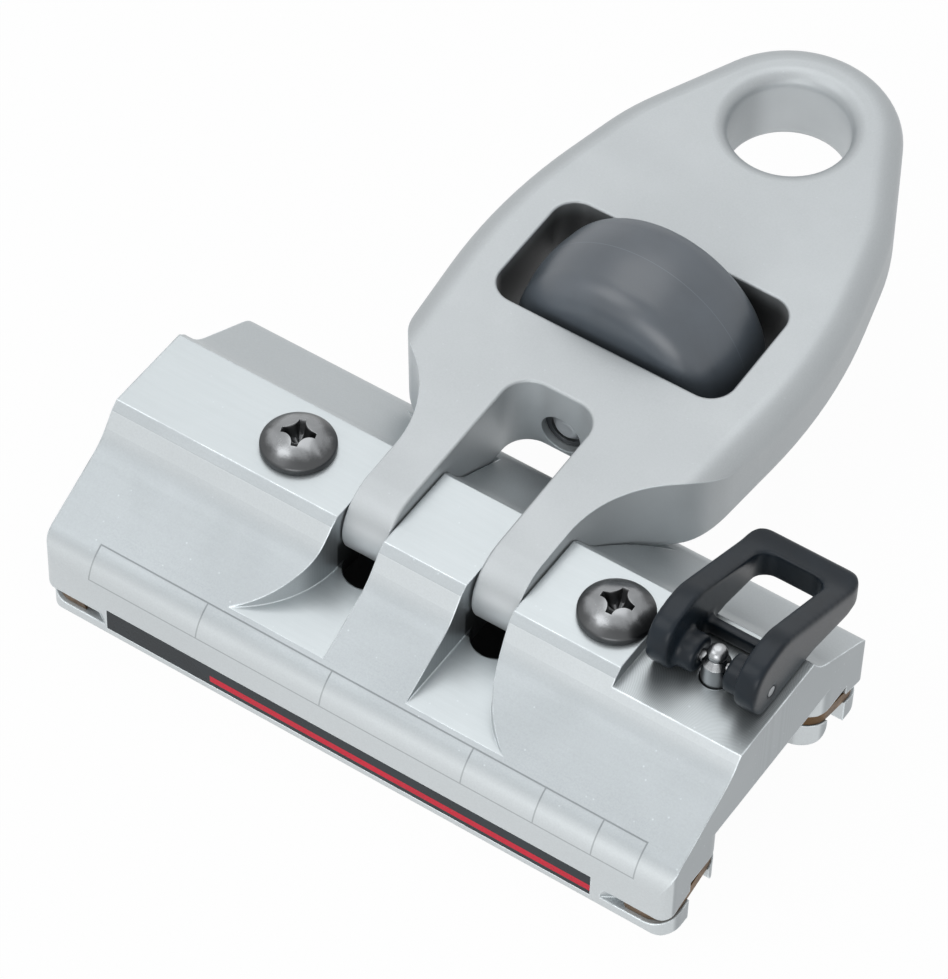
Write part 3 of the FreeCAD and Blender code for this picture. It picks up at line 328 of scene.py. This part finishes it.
def paint(tree, shader, body, rough, normal):
    """Links a material's colour, roughness and normal to its shader."""
    for name, socket in (("Base Color", body), ("Roughness", rough), ("Normal", normal)):
        tree.links.new(socket, shader.inputs[name])


def bump(tree, height, strength, distance, normal=None):
    """A normal raised by a height, on top of another normal if one is given."""
    inputs = {"Height": height, "Strength": strength, "Distance": distance}
    if normal:
        inputs["Normal"] = normal
    return add(tree, "Bump", inputs).outputs[0]


def in_band(tree, coordinate, low, high, soft):
    """1 where the coordinate lies between low and high, with soft sides."""
    rise = ramp(tree, coordinate, low - soft, low + soft)
    fall = ramp(tree, coordinate, high + soft, high - soft)
    return times(tree, rise, fall)


def object_place(tree):
    """Where a point of the surface lies on its piece."""
    return add(tree, "TexCoord").outputs["Object"]


def object_normal(tree):
    """Which way the surface faces at a point."""
    return add(tree, "TexCoord").outputs["Normal"]


def parts_of(tree, vector):
    """The x, y and z of a vector."""
    outputs = add(tree, "SeparateXYZ", {0: vector}).outputs
    return outputs[0], outputs[1], outputs[2]


def finish_of(context):
    """The colours and sizes that the user has set."""
    return context.scene.track_car_finish


def etched_frame(tree, finish, x, y, z):
    """1 on the thin lines etched in a row of plain cells above the front strip."""
    half = finish.etched_line / 2
    soft = 0.05 * MM
    low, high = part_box("car_body")
    along = in_band(tree, x, finish.etched_start, finish.etched_end, soft)
    panel = times(tree, in_band(tree, y, low.y - MM, -finish.etched_top + half, soft),
                  in_band(tree, z, finish.etched_bottom - half, high.z, soft))
    top = in_band(tree, y, -finish.etched_top - half, -finish.etched_top + half, soft)
    bottom = in_band(tree, z, finish.etched_bottom - half, finish.etched_bottom + half, soft)
    lines = times(tree, along, maths(tree, "MAXIMUM", top, bottom))
    for place in (finish.etched_start, *(MM * divider for divider in ETCHED_DIVIDERS), finish.etched_end):
        lines = maths(tree, "MAXIMUM", lines, in_band(tree, x, place - half, place + half, soft))
    return times(tree, lines, panel)


def painted_shade_in_hollows(tree, finish, x, y, z):
    """Painted shade: 1 in the channel and in the slots of the arm, away from the end faces."""
    low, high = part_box("car_body")
    between_ends = in_band(tree, x, low.x + 1.5 * MM, high.x - 1.5 * MM, 0.5 * MM)
    shade = finish.channel_shade
    channel = times(tree, in_band(tree, y, -finish.channel_half, finish.channel_half, 0.5 * MM),
                    ramp(tree, z, shade + 0.5 * MM, shade - 0.5 * MM))
    shade = finish.slot_shade
    slots = times(tree, in_band(tree, y, -finish.slot_half, finish.slot_half, 0.3 * MM),
                  ramp(tree, z, shade + MM, shade - MM))
    return times(tree, maths(tree, "MAXIMUM", channel, slots), between_ends)


def saddle_material(finish):
    """Clear-anodised extrusion: lines along the rail, brighter milled tops, rings in the pin's recess,
    painted light on steep walls, painted shade in the channel and slots, and rubbed edges with a painted
    highlight.
    """
    material, tree, shader = new_material("saddle_anodised", finish.extruded, 0.4, metallic=0.85)
    place = object_place(tree)
    x, y, z = parts_of(tree, place)
    normal_x, normal_y, normal_z = parts_of(tree, object_normal(tree))
    facing_up = ramp(tree, normal_z, 0.97, 0.99)
    facing_end = ramp(tree, maths(tree, "ABSOLUTE", normal_x), 0.9, 0.98)
    facing_back = ramp(tree, normal_y, 0.3, 0.5, 0.0, 0.5)
    # Painted light: steep faces, and half as much back-facing ones, get the lighter wall colour.
    steep_painted_light = maths(tree, "MAXIMUM", ramp(tree, normal_z, 0.8, 0.5), facing_back)
    lines = use(tree, brushed_grain(), vector=place, pitch=finish.brush_pitch, stretch=0.02)["Lines"]
    grain = use(tree, speckle(), vector=place, size=finish.speckle_size)
    marks = use(tree, handling_marks(), vector=place, smudges=55.0)
    low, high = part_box("stop_pin")
    centre = Vector((low.x + high.x, low.y + high.y, 0)) / 2
    rings = use(tree, tool_rings(), vector=place, centre=centre, pitch=0.28 * MM)["Rings"]
    edges = use(tree, edge_wear_and_highlight(), radius=finish.edge_radius, patches=260.0)
    etched = etched_frame(tree, finish, x, y, z)

    slope = mix(tree, grain["Grains"], rgba(finish.extruded, 0.93), rgba(finish.extruded, 1.05))
    slope = mix(tree, times(tree, lines, 0.35), slope, rgba(finish.extruded, 1.1))
    wall = mix(tree, grain["Grains"], rgba(finish.wall, 0.96), rgba(finish.wall, 1.04))
    top = mix(tree, lines, rgba(finish.machined, 0.975), rgba(finish.machined, 1.025))
    end_face = mix(tree, rings, rgba(finish.extruded, 0.98), rgba(finish.extruded, 1.04))
    ringed = mix(tree, rings, rgba(finish.machined, 0.72), rgba(finish.machined, 0.98))
    recess_floor = in_band(tree, z, finish.recess_floor - 0.4 * MM, finish.recess_floor + 0.5 * MM, 0.1 * MM)
    # Painted light on the steep faces; the machined colour on flat tops.
    body = mix(tree, facing_up, mix(tree, steep_painted_light, slope, wall), top)
    body = mix(tree, facing_end, body, end_face)
    body = mix(tree, times(tree, etched, 0.4), body, rgba(finish.extruded, 0.45))
    body = mix(tree, times(tree, facing_up, recess_floor), body, ringed)
    body = mix(tree, times(tree, grain["Pits"], 0.5), body, rgba(finish.machined, 1.25))
    # Rubbed edges, brightened further as a painted highlight.
    body = mix(tree, edges["Mask"], body, rgba(finish.machined, 1.9))
    hollow_painted_shade = painted_shade_in_hollows(tree, finish, x, y, z)
    # Painted shade: the channel and the slots are painted dark.
    body = mix(tree, times(tree, hollow_painted_shade, 0.9), body, rgba(finish.extruded, 0.1))

    rough = add(tree, "Mix", {0: facing_up, 2: 0.42, 3: 0.34}).outputs[0]
    rough = plus(tree, rough, times(tree, marks["Smudge"], 0.05))
    rough = plus(tree, rough, times(tree, edges["Mask"], -0.1))
    rough = plus(tree, rough, times(tree, etched, 0.2))

    line_depth = add(tree, "Mix", {0: facing_up, 2: 0.5, 3: 0.12}).outputs[0]
    height = plus(tree, times(tree, lines, line_depth), times(tree, grain["Grains"], 0.5))
    height = maths(tree, "SUBTRACT", height, etched)
    height = plus(tree, height, times(tree, marks["Scratches"], -0.6))
    paint(tree, shader, body, rough, bump(tree, height, 0.25, 0.02 * MM, edges["Normal"]))
    return material


def toggle_material(finish):
    """Bead-blasted and anodised arm: matte and speckled, with cut walls, rubbed edges with a painted
    highlight, and painted shade on the walls of the window.
    """
    material, tree, shader = new_material("toggle_blasted", finish.blasted, 0.5, metallic=0.65)
    place = object_place(tree)
    x, y, z = parts_of(tree, place)
    _, normal_y, normal_z = parts_of(tree, object_normal(tree))
    grain = use(tree, speckle(), vector=place, size=finish.speckle_size)
    marks = use(tree, handling_marks(), vector=place, smudges=40.0)
    edges = use(tree, edge_wear_and_highlight(), radius=finish.edge_radius, patches=200.0)
    wall = times(tree, ramp(tree, normal_z, 0.6, 0.3), ramp(tree, normal_z, -0.6, -0.3))
    wall = times(tree, wall, ramp(tree, maths(tree, "ABSOLUTE", normal_y), 0.3, 0.75))
    low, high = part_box("roller")
    play = 3.0 * MM
    window = times(tree, in_band(tree, x, low.x - play, high.x + play, 0.5 * MM),
                   in_band(tree, y, low.y - play, high.y + play, 0.5 * MM))
    upright = times(tree, ramp(tree, normal_z, 0.5, 0.2), ramp(tree, normal_z, -0.5, -0.2))
    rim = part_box("toggle")[1].z
    # Painted shade: the upright walls of the window darken with depth.
    window_painted_shade = times(tree, ramp(tree, z, rim - 1.0 * MM, rim - 7.0 * MM, 0.35, 0.9), upright)

    body = mix(tree, grain["Grains"], rgba(finish.blasted, 0.96), rgba(finish.blasted, 1.03))
    body = mix(tree, wall, body, rgba(finish.milled))
    body = mix(tree, times(tree, grain["Clouds"], 0.25), body, rgba(finish.blasted, 1.08))
    body = mix(tree, times(tree, grain["Pits"], 0.45), body, rgba(finish.machined, 1.2))
    # Painted shade on the walls of the window.
    body = mix(tree, times(tree, window, window_painted_shade), body, rgba(finish.blasted, 0.05))
    # Rubbed edges, brightened further as a painted highlight.
    body = mix(tree, times(tree, edges["Mask"], 0.85), body, rgba(finish.machined, 1.6))
    rough = plus(tree, 0.47, times(tree, marks["Smudge"], 0.06))
    height = plus(tree, grain["Grains"], times(tree, marks["Scratches"], -0.4))
    paint(tree, shader, body, rough, bump(tree, height, 0.3, 0.02 * MM, edges["Normal"]))
    return material


def steel_material(finish, name, roughness, shade=1.0, metallic=1.0, dust_and_painted_reflection_from=None):
    """Polished stainless steel with faint smudges and, on a screw's head, turning rings and a darker rim,
    part dust and part painted dark reflection.
    """
    material, tree, shader = new_material(name, finish.steel, roughness, metallic=metallic)
    place = object_place(tree)
    marks = use(tree, handling_marks(), vector=place, smudges=180.0)
    edges = use(tree, edge_wear_and_highlight(), radius=0.12 * MM, patches=500.0)
    grain = use(tree, speckle(), vector=place, size=0.15 * MM)
    body = mix(tree, marks["Smudge"], rgba(finish.steel, 0.85 * shade), rgba(finish.steel, 1.1 * shade))
    rough = plus(tree, roughness, times(tree, marks["Smudge"], 0.08))
    height = times(tree, grain["Grains"], 0.3)
    if dust_and_painted_reflection_from:
        rings = use(tree, tool_rings(), vector=place, centre=(0.0, 0.0, 0.0), pitch=0.16 * MM)
        ragged = plus(tree, rings["Distance"], times(tree, marks["Smudge"], -1.2 * MM))
        ragged = plus(tree, ragged, times(tree, grain["Grains"], 0.8 * MM))
        dust_and_painted_reflection = ramp(tree, ragged, 0.8 * dust_and_painted_reflection_from, 1.15 * dust_and_painted_reflection_from)
        # Darker rim: partly dust, partly a painted dark reflection.
        body = mix(tree, dust_and_painted_reflection, body, rgba(finish.steel, 0.28))
        rough = plus(tree, rough, times(tree, dust_and_painted_reflection, 0.12))
        height = plus(tree, height, times(tree, rings["Rings"], 0.5))
    # Rubbed edges, brightened further as a painted highlight.
    body = mix(tree, times(tree, edges["Mask"], 0.5), body, rgba(finish.steel, 1.5))
    paint(tree, shader, body, rough, bump(tree, height, 0.15, 0.01 * MM, edges["Normal"]))
    return material


def bronze_material(finish):
    """Dull guide bronze with streaks and darker patches."""
    material, tree, shader = new_material("guide_bronze", finish.bronze, 0.45, metallic=0.85)
    place = object_place(tree)
    grain = use(tree, speckle(), vector=place, size=0.3 * MM)
    marks = use(tree, handling_marks(), vector=place, smudges=300.0)
    edges = use(tree, edge_wear_and_highlight(), radius=0.15 * MM, patches=400.0)
    body = mix(tree, marks["Smudge"], rgba(finish.bronze, 0.7), rgba(finish.bronze, 1.25))
    # Rubbed edges, brightened further as a painted highlight.
    body = mix(tree, times(tree, edges["Mask"], 0.5), body, rgba(finish.bronze, 1.9))
    rough = plus(tree, 0.36, times(tree, grain["Grains"], 0.2))
    paint(tree, shader, body, rough, bump(tree, grain["Grains"], 0.25, 0.02 * MM, edges["Normal"]))
    return material


def parting_line(tree, place, box):
    """1 on the thin moulding line around the middle of the roller's tread."""
    along = Vector((0.0, math.cos(ARM_TILT), math.sin(ARM_TILT)))
    middle = (box[0] + box[1]) / 2
    distance = add(tree, "VectorMath", {0: place, 1: along}, operation="DOT_PRODUCT").outputs["Value"]
    off = maths(tree, "SUBTRACT", distance, middle.dot(along))
    return ramp(tree, maths(tree, "ABSOLUTE", off), 0.1 * MM, 0.05 * MM)


def rubber_material(finish):
    """Moulded grey rubber with a soft sheen, a fine skin and dusty patches."""
    material, tree, shader = new_material("roller_rubber", finish.rubber, 0.42, specular=0.75)
    place = object_place(tree)
    grain = use(tree, speckle(), vector=place, size=0.22 * MM)
    marks = use(tree, handling_marks(), vector=place, smudges=70.0)
    seam = parting_line(tree, place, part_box("roller"))
    body = mix(tree, marks["Smudge"], rgba(finish.rubber, 0.9), rgba(finish.rubber, 1.12))
    body = mix(tree, times(tree, grain["Grains"], 0.15), body, rgba(finish.rubber, 1.3))
    body = mix(tree, times(tree, seam, 0.5), body, rgba(finish.rubber, 1.9))
    rough = plus(tree, 0.31, times(tree, marks["Smudge"], 0.1))
    height = plus(tree, grain["Grains"], times(tree, marks["Scratches"], -0.3))
    height = plus(tree, height, times(tree, seam, 2.0))
    paint(tree, shader, body, rough, bump(tree, height, 0.2, 0.02 * MM))
    return material


def plastic_material(name, base, roughness, size):
    """Moulded plastic with a fine spark texture and edges lighter from rubbing and from a painted highlight.
    """
    material, tree, shader = new_material(name, base, roughness, specular=0.25)
    place = object_place(tree)
    grain = use(tree, speckle(), vector=place, size=size)
    marks = use(tree, handling_marks(), vector=place, smudges=120.0)
    edges = use(tree, edge_wear_and_highlight(), radius=0.25 * MM, patches=420.0)
    body = mix(tree, marks["Smudge"], rgba(base, 0.85), rgba(base, 1.2))
    # Rubbed edges, brightened further as a painted highlight.
    body = mix(tree, times(tree, edges["Mask"], 0.35), body, rgba(base, 2.6))
    rough = plus(tree, roughness, times(tree, grain["Grains"], 0.1))
    paint(tree, shader, body, rough, bump(tree, grain["Grains"], 0.25, 0.02 * MM, edges["Normal"]))
    return material


def strip_material(finish):
    """Glossy dark strip with one coloured line along it."""
    material, tree, shader = new_material("side_strip_film", finish.strip, 0.3, specular=0.2)
    place = object_place(tree)
    x, _, z = parts_of(tree, place)
    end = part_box("side_strip_front")[1].x + MM
    soft = 0.03 * MM
    line = times(tree, in_band(tree, x, finish.stripe_start, end, soft),
                 in_band(tree, z, finish.stripe_low, finish.stripe_high, soft))
    marks = use(tree, handling_marks(), vector=place, smudges=90.0)
    grain = use(tree, speckle(), vector=place, size=0.2 * MM)
    ground = mix(tree, marks["Smudge"], rgba(finish.strip, 0.85), rgba(finish.strip, 1.25))
    red = mix(tree, marks["Smudge"], rgba(finish.stripe, 0.92), rgba(finish.stripe, 1.06))
    rough = plus(tree, 0.24, times(tree, marks["Smudge"], 0.1))
    height = plus(tree, times(tree, grain["Grains"], 0.2), line)
    paint(tree, shader, mix(tree, line, ground, red), rough, bump(tree, height, 0.2, 0.03 * MM))
    return material


def dress(name, material):
    """Gives a node its finish."""
    for slot in NODES[name].material_slots:
        slot.material = material


class TRACKCAR_OT_saddle(bpy.types.Operator):
    """Finishes the saddle and the plug in its hinge bore"""

    bl_idname = "track_car.saddle"
    bl_label = "Saddle"

    def execute(self, context):
        finish = finish_of(context)
        dress("car_body", saddle_material(finish))
        dress("bore_plug", steel_material(finish, "bore_plug_steel", 0.3))
        return {"FINISHED"}


class TRACKCAR_OT_ball_circuits(bpy.types.Operator):
    """Finishes the balls and their bronze guides"""

    bl_idname = "track_car.ball_circuits"
    bl_label = "Ball circuits"

    def execute(self, context):
        finish = finish_of(context)
        balls = steel_material(finish, "ball_steel", 0.12)
        guides = bronze_material(finish)
        for side in ("front", "back"):
            dress(f"bearing_balls_{side}", balls)
            for end in ("left", "right"):
                dress(f"ball_guide_{side}_{end}", guides)
        return {"FINISHED"}


class TRACKCAR_OT_side_strips(bpy.types.Operator):
    """Finishes the strips along both sides"""

    bl_idname = "track_car.side_strips"
    bl_label = "Side strips"

    def execute(self, context):
        film = strip_material(finish_of(context))
        dress("side_strip_front", film)
        dress("side_strip_back", film)
        return {"FINISHED"}


def ring_points(radii, heights):
    """One ring of points about the upright axis, from a radius and a height for each spoke."""
    step = math.tau / len(radii)
    return [(radius * math.cos(i * step), radius * math.sin(i * step), height)
            for i, (radius, height) in enumerate(zip(radii, heights))]


def mesh_from_rings(name, rings, materials):
    """A closed mesh from rings of equal length, with a point at each end."""
    spokes = len(rings[0])
    points = [point for ring in rings for point in ring]
    faces = []
    for i in range(len(rings) - 1):
        for j in range(spokes):
            here, after = i * spokes + j, i * spokes + (j + 1) % spokes
            faces.append((here, after, after + spokes, here + spokes))
    for ring, start in ((rings[0], 0), (rings[-1], (len(rings) - 1) * spokes)):
        hub = len(points)
        points.append((0.0, 0.0, sum(point[2] for point in ring) / spokes))
        for j in range(spokes):
            corners = (start + j, start + (j + 1) % spokes, hub)
            faces.append(corners if start else tuple(reversed(corners)))
    mesh = bpy.data.meshes.new(name)
    mesh.from_pydata(points, [], faces)
    for material in materials:
        mesh.materials.append(material)
    piece = bpy.data.objects.new(name, mesh)
    bpy.context.scene.collection.objects.link(piece)
    return piece


def recess_edge(finish, angle):
    """How far the cross recess reaches at an angle: four wings, with an arc between each two."""
    off = abs((angle + math.pi / 4) % (math.pi / 2) - math.pi / 4)
    tip = finish.wing_reach / math.cos(off)
    across = math.pi / 4 - off
    place, radius = finish.flute_place, finish.flute_radius
    inside = radius ** 2 - (place * math.sin(across)) ** 2
    if inside <= 0:
        return tip
    return min(tip, place * math.cos(across) - math.sqrt(inside))


def screw_piece(name, low, high, finish, turn, materials):
    """A pan-head screw with a fluted cross recess, from the tip of its shank up."""
    head = (high.x - low.x) / 2
    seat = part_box("car_body")[1].z
    rise = high.z - seat
    shank = 3.0 * MM
    tip = 0.8 * MM
    edge = 0.2 * MM
    brow = 0.3 * rise
    dome_radius = (head * head + (rise - brow) ** 2) / (2 * (rise - brow))
    spokes = 240
    recess = [recess_edge(finish, math.tau * i / spokes - turn) for i in range(spokes)]

    def dome(radius):
        return seat + rise - dome_radius + math.sqrt(dome_radius ** 2 - min(radius, head) ** 2)

    rings = []
    for radius, height in (
        (shank - tip, low.z), (shank, low.z + tip), (shank, seat), (head - edge, seat),
        (head, seat + edge), (head, seat + brow - edge), (head - 0.25 * edge, seat + brow - 0.3 * edge),
    ):
        rings.append(ring_points([radius] * spokes, [height] * spokes))
    for share in (0.985, 0.96, 0.9, 0.8, 0.7, 0.6):
        rings.append(ring_points([share * head] * spokes, [dome(share * head)] * spokes))
    lip = 0.1 * MM
    for share in (0.5, 0.2, 0.0):
        reach = [edge_at + lip + share * (0.6 * head - edge_at - lip) for edge_at in recess]
        rings.append(ring_points(reach, [dome(radius) for radius in reach]))
    outside = len(rings)
    # The recess wall: the share of the way to the middle, and the depth in millimetres.
    for inward, depth in ((0.0, 0.1), (0.03, 0.3), (0.1, 1.0), (0.2, 2.2), (0.34, 2.9), (0.7, 3.3)):
        reach = [edge_at * (1 - inward) for edge_at in recess]
        rings.append(ring_points(reach, [dome(radius) - depth * MM for radius in recess]))
    piece = mesh_from_rings(name, rings, materials)
    for face in piece.data.polygons:
        face.use_smooth = True
        face.material_index = 1 if min(face.vertices) >= (outside - 1) * spokes else 0
    piece.data.set_sharp_from_angle(angle=math.radians(38))
    piece.location.x = (low.x + high.x) / 2
    return piece


class TRACKCAR_OT_hinge(bpy.types.Operator):
    """Finishes the hinge pin and its bushes, and makes the two retaining screws"""

    bl_idname = "track_car.hinge"
    bl_label = "Hinge and screws"

    def execute(self, context):
        finish = finish_of(context)
        bronze = bpy.data.materials.get("guide_bronze") or bronze_material(finish)
        dress("hinge_pin", steel_material(finish, "hinge_pin_steel", 0.2))
        for end, turn in (("left", 20.0), ("right", 3.0)):
            name = f"retaining_screw_{end}"
            low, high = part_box(name)
            steel = steel_material(finish, f"{name}_steel", 0.2, 0.95, dust_and_painted_reflection_from=0.37 * (high.x - low.x))
            # Painted shade: the cross recess gets a darker copy of the steel.
            recess = steel_material(finish, f"{name}_recess_steel", 0.35, 0.5)
            screw = screw_piece(f"screw_{end}", low, high, finish, math.radians(turn), (steel, recess))
            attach(screw, "car")
            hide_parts(name)
            dress(f"hinge_bush_{end}", bronze)
        return {"FINISHED"}


class TRACKCAR_OT_toggle(bpy.types.Operator):
    """Finishes the toggle arm"""

    bl_idname = "track_car.toggle"
    bl_label = "Toggle arm"

    def execute(self, context):
        dress("toggle", toggle_material(finish_of(context)))
        return {"FINISHED"}


class TRACKCAR_OT_roller(bpy.types.Operator):
    """Finishes the rubber roller and what it turns on"""

    bl_idname = "track_car.roller"
    bl_label = "Roller"

    def execute(self, context):
        finish = finish_of(context)
        # Painted light: the axle's end gets a much lighter steel, standing in for a highlight on its dome.
        steel = steel_material(finish, "axle_steel", 0.3, 2.3, metallic=0.5)
        washer = plastic_material("washer_plastic", finish.washer, 0.5, 0.3 * MM)
        dress("roller", rubber_material(finish))
        dress("roller_axle", steel)
        dress("axle_ring", steel_material(finish, "axle_ring_steel", 0.35, 0.45))
        dress("roller_bush", bpy.data.materials.get("guide_bronze") or bronze_material(finish))
        dress("roller_washer_near", washer)
        dress("roller_washer_far", washer)
        return {"FINISHED"}


def copy_of(node, name):
    """A new piece with a node's shape and place."""
    piece = bpy.data.objects.new(name, node.data.copy())
    piece.matrix_world = node.matrix_world
    bpy.context.scene.collection.objects.link(piece)
    return piece


def coat(piece, material):
    """Gives a new piece one material all over."""
    piece.data.materials.clear()
    piece.data.materials.append(material)
    for face in piece.data.polygons:
        face.material_index = 0


def squeezed_spring(material):
    """A copy of the pin's spring, with its own mesh, that rides with the car."""
    coil = copy_of(NODES["pin_spring"], "spring_coil")
    coat(coil, material)
    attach(coil, "car")
    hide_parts("pin_spring")
    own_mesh(coil)


class TRACKCAR_OT_stop_pin(bpy.types.Operator):
    """Finishes the stop pin, its bush and its spring"""

    bl_idname = "track_car.stop_pin"
    bl_label = "Stop pin"

    def execute(self, context):
        finish = finish_of(context)
        dress("stop_pin", steel_material(finish, "stop_pin_steel", 0.24, 1.15))
        dress("handle_cross_pin", steel_material(finish, "cross_pin_steel", 0.3, 1.2))
        squeezed_spring(steel_material(finish, "spring_steel", 0.25))
        dress("pin_bush", bpy.data.materials.get("guide_bronze") or bronze_material(finish))
        return {"FINISHED"}


def moulded_copy(name, node, cell, material):
    """A copy of a node with its edges rounded off all over, as a mould leaves them."""
    piece = copy_of(node, name)
    skin = piece.modifiers.new("Skin", "REMESH")
    skin.mode = "VOXEL"
    skin.voxel_size = cell
    rounding = piece.modifiers.new("Rounding", "SMOOTH")
    rounding.factor = 0.5
    rounding.iterations = 40
    bpy.context.view_layer.update()
    graph = bpy.context.evaluated_depsgraph_get()
    piece.data = bpy.data.meshes.new_from_object(piece.evaluated_get(graph))
    piece.modifiers.clear()
    coat(piece, material)
    for face in piece.data.polygons:
        face.use_smooth = True
    return piece


class TRACKCAR_OT_pull_handle(bpy.types.Operator):
    """Makes the rounded moulding of the pull handle"""

    bl_idname = "track_car.pull_handle"
    bl_label = "Pull handle"

    def execute(self, context):
        finish = finish_of(context)
        material = plastic_material("handle_plastic", finish.handle, 0.28, 0.25 * MM)
        loop = moulded_copy("handle_moulding", NODES["pull_handle"], finish.skin_cell, material)
        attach(loop, "pull_handle")
        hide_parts("pull_handle")
        return {"FINISHED"}


def place_camera(scene, stage):
    """Stands the camera where the photograph was taken from."""
    az, el, roll = stage.azimuth, stage.elevation, stage.roll
    back = Vector((math.sin(az) * math.cos(el), -math.cos(az) * math.cos(el), math.sin(el)))
    level = Vector((math.cos(az), math.sin(az), 0.0))
    rise = back.cross(level)
    right = level * math.cos(roll) + rise * math.sin(roll)
    up = rise * math.cos(roll) - level * math.sin(roll)
    data = bpy.data.cameras.new("photo_camera")
    data.lens = stage.lens
    data.sensor_width = 36.0
    data.clip_start = 0.05
    camera = bpy.data.objects.new("photo_camera", data)
    scene.collection.objects.link(camera)
    turn = Matrix((right, up, back)).transposed().to_4x4()
    camera.matrix_world = Matrix.Translation(Vector(stage.target) + back * stage.distance) @ turn
    scene.camera = camera


def seen_directly(tree):
    """1 for rays that show the background: from the camera, or by way of metal or glass."""
    rays = add(tree, "LightPath").outputs
    seen = maths(tree, "MAXIMUM", rays["Is Camera Ray"], rays["Is Glossy Ray"])
    return maths(tree, "MAXIMUM", seen, rays["Is Transmission Ray"])


def lay_floor(scene, size):
    """A white floor that keeps the shadow, has a painted shadow beneath the saddle and can't be seen from
    below.
    """
    mesh = bpy.data.meshes.new("floor")
    half = size / 2
    corners = [(-half, -half, 0), (half, -half, 0), (half, half, 0), (-half, half, 0)]
    mesh.from_pydata(corners, [], [(0, 1, 2, 3)])
    floor = bpy.data.objects.new("floor", mesh)
    floor.location.z = -0.05 * MM
    scene.collection.objects.link(floor)
    material = bpy.data.materials.new("floor_white")
    material.use_nodes = True
    tree = material.node_tree
    tree.nodes.clear()
    white = add(tree, "Emission", {"Color": (1.0, 1.0, 1.0, 1.0), "Strength": 1.0}).outputs[0]
    share = times(tree, seen_directly(tree), 0.97)
    x, y, _ = parts_of(tree, object_place(tree))
    low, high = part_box("car_body")
    # Painted shadow: beneath the saddle the floor is painted dark and gets no white.
    end_inset, side_inset = 7 * MM, 5 * MM
    painted_shadow = times(tree, in_band(tree, x, low.x + end_inset, high.x - end_inset, 2 * MM),
                  in_band(tree, y, low.y + side_inset, high.y - side_inset, 2 * MM))
    share = maths(tree, "SUBTRACT", share, painted_shadow, clamp=True)
    grey = mix(tree, painted_shadow, rgba((0.86, 0.86, 0.86)), rgba((0.1, 0.1, 0.1)))
    matte = add(tree, "BsdfDiffuse", {"Color": grey}).outputs[0]
    shown = add(tree, "MixShader", {0: share, 1: matte, 2: white}).outputs[0]
    clear = add(tree, "BsdfTransparent").outputs[0]
    behind = add(tree, "NewGeometry").outputs["Backfacing"]
    sided = add(tree, "MixShader", {0: behind, 1: shown, 2: clear}).outputs[0]
    add(tree, "OutputMaterial", {"Surface": sided})
    mesh.materials.append(material)


def light_world(scene):
    """A pale sky that lights the part, and shows white behind it."""
    world = bpy.data.worlds.new("studio")
    world.use_nodes = True
    tree = world.node_tree
    tree.nodes.clear()
    light = add(tree, "Background", {"Color": (0.94, 0.97, 1.0, 1.0), "Strength": 0.42}).outputs[0]
    shown = add(tree, "Background", {"Color": (1.0, 1.0, 1.0, 1.0), "Strength": 1.0}).outputs[0]
    both = add(tree, "MixShader", {0: seen_directly(tree), 1: light, 2: shown}).outputs[0]
    add(tree, "OutputWorld", {"Surface": both})
    scene.world = world


def hang_lamp(scene, name, size, power, place):
    """A square soft lamp that faces the part."""
    data = bpy.data.lights.new(name, "AREA")
    data.shape = "SQUARE"
    data.size = size
    data.energy = power
    lamp = bpy.data.objects.new(name, data)
    lamp.location = place
    lamp.rotation_euler = Vector(place).to_track_quat("Z", "Y").to_euler()
    scene.collection.objects.link(lamp)


class TRACKCAR_OT_stage(bpy.types.Operator):
    """Sets the camera, the lamps, the floor and the plain background"""

    bl_idname = "track_car.stage"
    bl_label = "Stage"

    def execute(self, context):
        stage = context.scene.track_car_stage
        place_camera(context.scene, stage)
        lay_floor(context.scene, stage.floor_size)
        light_world(context.scene)
        for name, size, power, place in LAMPS:
            hang_lamp(context.scene, name, size, power, place)
        context.scene.view_settings.view_transform = "Standard"
        return {"FINISHED"}


class TRACKCAR_PT_sidebar(bpy.types.Panel):
    """Lists the pieces of the track car and their sizes and colours"""

    bl_idname = "TRACKCAR_PT_sidebar"
    bl_label = "Track Car"
    bl_space_type = "VIEW_3D"
    bl_region_type = "UI"
    bl_category = "Track Car"

    def draw(self, context):
        for operator in OPERATORS:
            self.layout.operator(operator.bl_idname)
        for group_of in (context.scene.track_car_finish, context.scene.track_car_stage):
            box = self.layout.box()
            for name in group_of.__annotations__:
                box.prop(group_of, name)


OPERATORS = (
    TRACKCAR_OT_stage,
    TRACKCAR_OT_saddle,
    TRACKCAR_OT_ball_circuits,
    TRACKCAR_OT_side_strips,
    TRACKCAR_OT_hinge,
    TRACKCAR_OT_toggle,
    TRACKCAR_OT_roller,
    TRACKCAR_OT_stop_pin,
    TRACKCAR_OT_pull_handle,
)
CLASSES = (TrackCarFinish, TrackCarStage) + OPERATORS + (TRACKCAR_PT_sidebar,)


def register():
    for listed in CLASSES:
        bpy.utils.register_class(listed)
    bpy.types.Scene.track_car_finish = PointerProperty(type=TrackCarFinish)
    bpy.types.Scene.track_car_stage = PointerProperty(type=TrackCarStage)


def unregister():
    del bpy.types.Scene.track_car_stage
    del bpy.types.Scene.track_car_finish
    for listed in reversed(CLASSES):
        bpy.utils.unregister_class(listed)


def main():
    register()
    bpy.ops.track_car.stage()
    bpy.ops.track_car.saddle()
    bpy.ops.track_car.ball_circuits()
    bpy.ops.track_car.side_strips()
    bpy.ops.track_car.hinge()
    bpy.ops.track_car.toggle()
    bpy.ops.track_car.roller()
    bpy.ops.track_car.stop_pin()
    bpy.ops.track_car.pull_handle()


if __name__ == "__main__":
    main()
